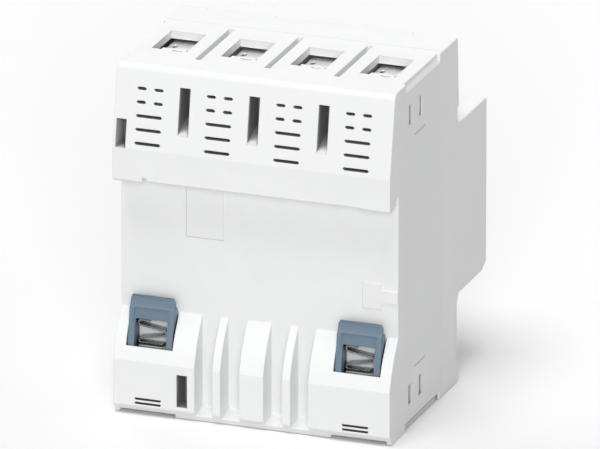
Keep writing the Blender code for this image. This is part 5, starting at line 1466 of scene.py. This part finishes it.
@dataclass
class Transformer:
    """Summation transformer: the coated ring core and its wound turns."""

    turns: int = 56
    sweep: float = 316.0
    core_inner: float = 8.6
    core_outer: float = 13.8
    core_height: float = 8.0
    core_edge: float = 0.4 * MM
    standoff: float = 0.95
    wire: float = 0.33

    def build(self, kit: Kit) -> None:
        """Round the core and lay the turns round it.

        Args:
            kit: finishes and patterns.
        """
        kit.stand_in("transformer_core", "housing", "core_coating", self.core_edge)
        grow = 2 * self.standoff
        loops = kit.pattern("wire_turns", "enamelled_wire", Turns=self.turns, Sweep=self.sweep,
                            Ring_Radius=(self.core_inner + self.core_outer) / 2 * MM,
                            Loop_Width=(self.core_outer - self.core_inner + grow) * MM,
                            Loop_Height=(self.core_height + grow) * MM, Wire_Radius=self.wire * MM)
        kit.add("transformer_turns", placed(loops, extent("transformer_core")[2]), "housing", "enamelled_wire",
                "transformer_winding")


@dataclass
class TripRelay:
    """Trip relay with its coil pins, the plunger, and the lever that it lifts."""

    case_edge: float = 0.3 * MM
    lever_edge: float = 0.15 * MM
    pin_length: float = 1.6
    pin_radius: float = 0.35
    pins_across: Pair = (0.25, 0.75)
    pins_along: Pair = (0.2, 0.8)

    def pins(self) -> Mesh:
        """Four round pins under the case."""
        low, high, _ = extent("trip_relay")
        radius, tip = self.pin_radius, -self.pin_length
        pin = lathe("coil_pin", [(radius - 0.1, tip), (radius, tip + 0.15), (radius, 0.2)], 12)
        return merged("coil_pins", *(
            placed(pin, (low.x + (high.x - low.x) * across, low.y + (high.y - low.y) * along, low.z))
            for across in self.pins_across for along in self.pins_along))

    def build(self, kit: Kit) -> None:
        """Dress the relay and what moves on it.

        Args:
            kit: finishes and patterns.
        """
        kit.stand_in("trip_relay", "housing", "white_housing", self.case_edge, finish="relay_case")
        kit.add("relay_pins", self.pins(), "housing", "tinned_copper")
        kit.stand_in("trip_lever", "trip_lever", "black_moulding", self.lever_edge)
        kit.dress("relay_plunger", "zinc_steel")
        kit.dress("trip_pin", "zinc_steel")


@dataclass
class Toggle:
    """Toggle handle with grip ribs, its shaft, the steel frame and the opening spring."""

    rest_angle: float = math.radians(32.5)
    grip_ribs: int = 4
    grip_pitch: float = 1.2
    grip_radius: float = 0.32
    grip_length: float = 10.4
    grip_reach: float = 14.6
    lever_half: float = 1.98
    handle_edge: float = 0.25 * MM
    frame_edge: float = 0.15 * MM
    crank_drop: float = 5.0 * MM
    spring_turns: float = 5.0

    def ribs(self, kit: Kit) -> Mesh:
        """Grip ribs on both sides of the lever.

        Args:
            kit: finishes and patterns.

        Returns:
            The ribs, placed on the resting handle.
        """
        row = kit.pattern("round_ribs", "toggle_plastic", Count=self.grip_ribs, Pitch=self.grip_pitch * MM,
                          Length=self.grip_length * MM, Radius=self.grip_radius * MM)
        rest = Matrix.Translation(extent("toggle_shaft")[2]) @ Matrix.Rotation(self.rest_angle, 4, "X")
        grips = merged("grips", *(placed(row, mm(0.0, -self.grip_reach, height), Axis.TO_FRONT)
                                  for height in (-self.lever_half, self.lever_half)))
        grips.transform(rest)
        return grips

    def build(self, kit: Kit) -> None:
        """Round and dress the handle, its frame and the spring.

        Args:
            kit: finishes and patterns.
        """
        kit.stand_in("toggle_handle", "toggle", "toggle_plastic", self.handle_edge, self.ribs(kit))
        kit.stand_in("mechanism_frame", "housing", "zinc_steel", self.frame_edge)
        kit.dress("toggle_shaft", "zinc_steel")
        PressedSpring("opening_spring", "contact_swing", Axis.UP, self.crank_drop,
                      turns=self.spring_turns).build(kit)


@dataclass
class OperatingParts:
    """Test button with its contact, spring and resistor, and the contact position indicator."""

    lead_radius: float = 0.3
    lead_length: float = 1.6
    lead_sunk: float = 0.2
    contact_edge: float = 0.15 * MM
    flag_edge: float = 0.12 * MM
    button_travel: float = 2.0 * MM
    spring_turns: float = 4.0

    def button(self) -> Mesh:
        """Button along +Z, its face at the origin's height and dished for a fingertip."""
        low, high, _ = extent("test_button", MM)
        end = low.y - high.y
        stem = [(1.1, end), (1.3, end + 0.2), (1.3, -4.3)]
        collar = [(4.0, -4.3), (4.2, -4.1), (4.2, -3.5), (4.0, -3.3)]
        face = [(3.2, -3.3), (3.2, -0.55), (3.1, -0.2), (2.85, -0.02), (2.5, 0.0), (2.2, -0.06), (1.5, -0.2),
                (0.8, -0.28), (0.0, -0.3)]
        return lathe("test_button", stem + collar + face, 48)

    def leads(self) -> Mesh:
        """Short wire leads at both ends of the test resistor."""
        low, high, middle = extent("test_resistor")
        thin = self.lead_radius - 0.05
        lead = lathe("lead", [(thin, 0.0), (self.lead_radius, 0.1), (self.lead_radius, self.lead_length - 0.1),
                              (thin, self.lead_length)], 12)
        starts = (high.x - self.lead_sunk * MM, low.x - (self.lead_length - self.lead_sunk) * MM)
        return merged("resistor_leads", *(placed(lead, (start, middle.y, middle.z), Axis.TO_RIGHT)
                                          for start in starts))

    def build(self, kit: Kit) -> None:
        """Make the button and dress the rest.

        Args:
            kit: finishes and patterns.
        """
        low, _, face = extent("test_button")
        face.y = low.y
        kit.add("test_button_dished", placed(self.button(), face, Axis.TO_FRONT), "test_button",
                "toggle_plastic", "test_button")
        kit.stand_in("test_contact", "housing", "tinned_copper", self.contact_edge)
        kit.stand_in("position_indicator", "indicator", "flag_plastic", self.flag_edge)
        kit.stand_in("indicator_window", "housing", "clear_window", self.flag_edge)
        kit.add("resistor_leads", self.leads(), "housing", "tinned_copper")
        PressedSpring("test_button_spring", "test_button_press", Axis.TO_FRONT, self.button_travel,
                      turns=self.spring_turns).build(kit)
        kit.dress("test_resistor", "resistor_body")


@dataclass
class CircuitBoard:
    """Board of the evaluation electronics with its small parts, one chip and a capacitor.

    Places are measured along the board and up it, in millimetres.
    """

    columns: int = 5
    rows: int = 3
    seed: int = 7
    edge: float = 0.12 * MM
    small_at: Pair = (3.0, 2.6)
    small_lift: float = 0.35
    chip: Point = (1.4, 6.0, 4.4)
    chip_at: Pair = (-8.6, 3.6)
    chip_edge: float = 0.15 * MM
    sunk: float = 0.05
    legs: int = 7
    leg_pitch: float = 0.8
    leg_length: float = 0.5
    leg_radius: float = 0.2
    leg_lift: float = 0.25
    legs_along: float = -5.6
    leg_heights: Pair = (3.3, 8.3)
    can_radius: float = 2.1
    can_height: float = 2.2
    can_at: Pair = (13.0, 9.2)

    def parts(self, kit: Kit, low: Vector, high: Vector) -> Mesh:
        """The small parts in their rows, and the chip.

        Args:
            kit: finishes and patterns.
            low: lowest corner of the board in millimetres.
            high: its highest corner.

        Returns:
            The parts' mesh.
        """
        small = kit.pattern("small_parts", "black_moulding", Columns=self.columns, Rows=self.rows,
                            Seed=self.seed)
        small = placed(small, mm(high.x + self.small_lift, low.y + self.small_at[0], low.z + self.small_at[1]))
        corner = Vector((high.x, high.y + self.chip_at[0], low.z + self.chip_at[1]))
        chip = block("chip", corner - Vector((self.sunk, 0.0, 0.0)), corner + Vector(self.chip))
        return merged("board_parts", small, rounded(chip, self.chip_edge, clamp=True))

    def chip_legs(self, kit: Kit, low: Vector, high: Vector) -> Mesh:
        """Two rows of legs beside the chip.

        Args:
            kit: finishes and patterns.
            low: lowest corner of the board in millimetres.
            high: its highest corner.

        Returns:
            The legs' mesh.
        """
        row = kit.pattern("round_ribs", "tinned_copper", Count=self.legs, Pitch=self.leg_pitch * MM,
                          Length=self.leg_length * MM, Radius=self.leg_radius * MM)
        return merged("chip_legs", *(
            placed(row, mm(high.x + self.leg_lift, high.y + self.legs_along, low.z + height), Axis.TO_FRONT)
            for height in self.leg_heights))

    def build(self, kit: Kit) -> None:
        """Round the board and set its parts on the inner face.

        Args:
            kit: finishes and patterns.
        """
        kit.stand_in("circuit_board", "housing", "board_laminate", self.edge)
        low, high, _ = extent("circuit_board", MM)
        kit.add("board_parts", self.parts(kit, low, high), "housing", "black_moulding")
        kit.add("chip_legs", self.chip_legs(kit, low, high), "housing", "tinned_copper")
        wide, tall = self.can_radius, self.can_height
        can = lathe("capacitor", [(wide - 0.2, 0.0), (wide, 0.2), (wide, tall - 0.3), (wide - 0.3, tall),
                                  (0.0, tall)], 28)
        at = mm(high.x - self.sunk, low.y + self.can_at[0], low.z + self.can_at[1])
        kit.add("board_capacitor", placed(can, at, Axis.TO_RIGHT), "housing", "wire_insulation")


# Studio


@dataclass(frozen=True)
class Sun:
    """One soft sun: its name, strength, the way its light travels, and its width in degrees."""

    name: str
    strength: float
    travel: Point
    width: float


@dataclass
class Studio:
    """Pale floor, soft light and the long-lens camera at the photograph's angle."""

    azimuth: float = math.radians(200.2)
    elevation: float = math.radians(19.8)
    pixels_per_metre: float = 4072.0
    image_width: int = 600
    lens: float = 1000.0
    sensor: float = 36.0
    clip: Pair = (0.1, 60.0)
    aim: Point = (0.0, 0.0, 0.0404)
    aim_right: float = -1.3 * MM
    ambient: float = 0.30
    floor_reach: float = 8.0
    floor_tone: float = 0.865
    floor_far_painted_light: float = 0.985
    floor_near: float = 0.16
    floor_far: float = -0.10
    floor_bounce: float = 0.66
    floor_roughness: float = 0.9
    suns: tuple[Sun, ...] = (Sun("key", 1.50, (-0.05, -0.24, -0.97), 30.0),
                             Sun("fill", 1.42, (0.325, -0.883, -0.339), 25.0),
                             Sun("far_side", 0.60, (-0.55, 0.75, -0.36), 35.0))

    def back(self) -> Vector:
        """Direction from the breaker to the camera."""
        level, rise = math.cos(self.elevation), math.sin(self.elevation)
        return Vector((math.sin(self.azimuth) * level, -math.cos(self.azimuth) * level, rise))

    def turned(self, name: str, data: bpy.types.ID, way: Vector) -> bpy.types.Object:
        """New camera or lamp.

        Args:
            name: its name.
            data: the camera or lamp.
            way: direction that it looks along.

        Returns:
            The object.
        """
        made = new_object(name, data)
        made.rotation_mode = "QUATERNION"
        made.rotation_quaternion = way.to_track_quat("-Z", "Y")
        return made

    def place_camera(self) -> None:
        """Make the camera so that the breaker has the photograph's size and place."""
        data = bpy.data.cameras.new("long_lens")
        data.lens = self.lens
        data.sensor_width = self.sensor
        data.clip_start, data.clip_end = self.clip
        distance = self.lens / self.sensor * self.image_width / self.pixels_per_metre
        right = Vector((math.cos(self.azimuth), math.sin(self.azimuth), 0.0))
        camera = self.turned("long_lens", data, -self.back())
        camera.location = Vector(self.aim) + right * self.aim_right + self.back() * distance
        bpy.context.scene.camera = camera

    def lay_floor(self) -> None:
        """Wide pale floor that keeps the breaker's shadow, with painted light that makes it paler behind the
        breaker.
        """
        mesh = bpy.data.meshes.new("floor")
        reach = self.floor_reach
        mesh.from_pydata([(-reach, -reach, 0.0), (reach, -reach, 0.0), (reach, reach, 0.0),
                          (-reach, reach, 0.0)], [], [(0, 1, 2, 3)])
        recipe = Recipe("floor_paper")
        levels = (self.floor_bounce, self.floor_tone, self.floor_far_painted_light)
        bounce, near, far = ((level, level, level) for level in levels)
        # Painted light: the far floor is made paler where the fill light's soft shadow dims it.
        away = recipe.span(recipe.along("Y"), start=self.floor_near, end=self.floor_far)
        seen = recipe.node("ShaderNodeLightPath").outputs["Is Camera Ray"]
        tone = recipe.blend(seen, bounce, recipe.blend(away, near, far))
        mesh.materials.append(recipe.shader(Base_Color=tone, Roughness=self.floor_roughness))
        new_object("floor", mesh)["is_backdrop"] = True

    def light_world(self) -> None:
        """Even light all round, seen as plain white by the camera, by gloss and through glass."""
        world = bpy.data.worlds.new("even_light")
        world.use_nodes = True
        light = Wiring(world.node_tree)
        path = light.node("ShaderNodeLightPath").outputs
        kinds = ("Camera", "Glossy", "Transmission")
        seen = light.maths("MAXIMUM", *(path[f"Is {kind} Ray"] for kind in kinds))
        background = world.node_tree.nodes["Background"].inputs
        light.feed(background["Strength"], light.span(seen, self.ambient, 1.0, 0.0, 1.0))
        light.feed(background["Color"], (1.0, 1.0, 1.0))
        bpy.context.scene.world = world

    def hang_suns(self) -> None:
        """A high key, a fill along the camera's view, and a weak light on the far sides."""
        for sun in self.suns:
            data = bpy.data.lights.new(sun.name, "SUN")
            data.energy = sun.strength
            data.angle = math.radians(sun.width)
            self.turned(sun.name, data, Vector(sun.travel))

    def build(self) -> None:
        """Set up everything round the breaker."""
        self.place_camera()
        self.lay_floor()
        self.light_world()
        self.hang_suns()
        bpy.context.scene.view_settings.view_transform = "Standard"


def corners(box: tuple[Vector, Vector]) -> list[list[float]]:
    """The two corners of a box as plain numbers."""
    return [[float(value) for value in corner] for corner in box]


def main() -> None:
    """Dress the breaker, piece by piece, and set up the studio."""
    logging.basicConfig(level=logging.INFO, format="%(name)s: %(message)s")
    solids_box = corners(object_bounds())
    kit = Kit()
    assemblies = [Shell("housing_base"), Shell("housing_cover"), FrontTrim(), RailLatch(Side.LEFT),
                  RailLatch(Side.RIGHT), Terminals(), PoleParts(), Transformer(), TripRelay(), Toggle(),
                  OperatingParts(), CircuitBoard()]
    for assembly in assemblies:
        assembly.build(kit)
        LOG.info("%s done", type(assembly).__name__)
    Studio().build()
    {"solids": solids_box, "dressed": corners(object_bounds())}


if __name__ == "__main__":
    main()
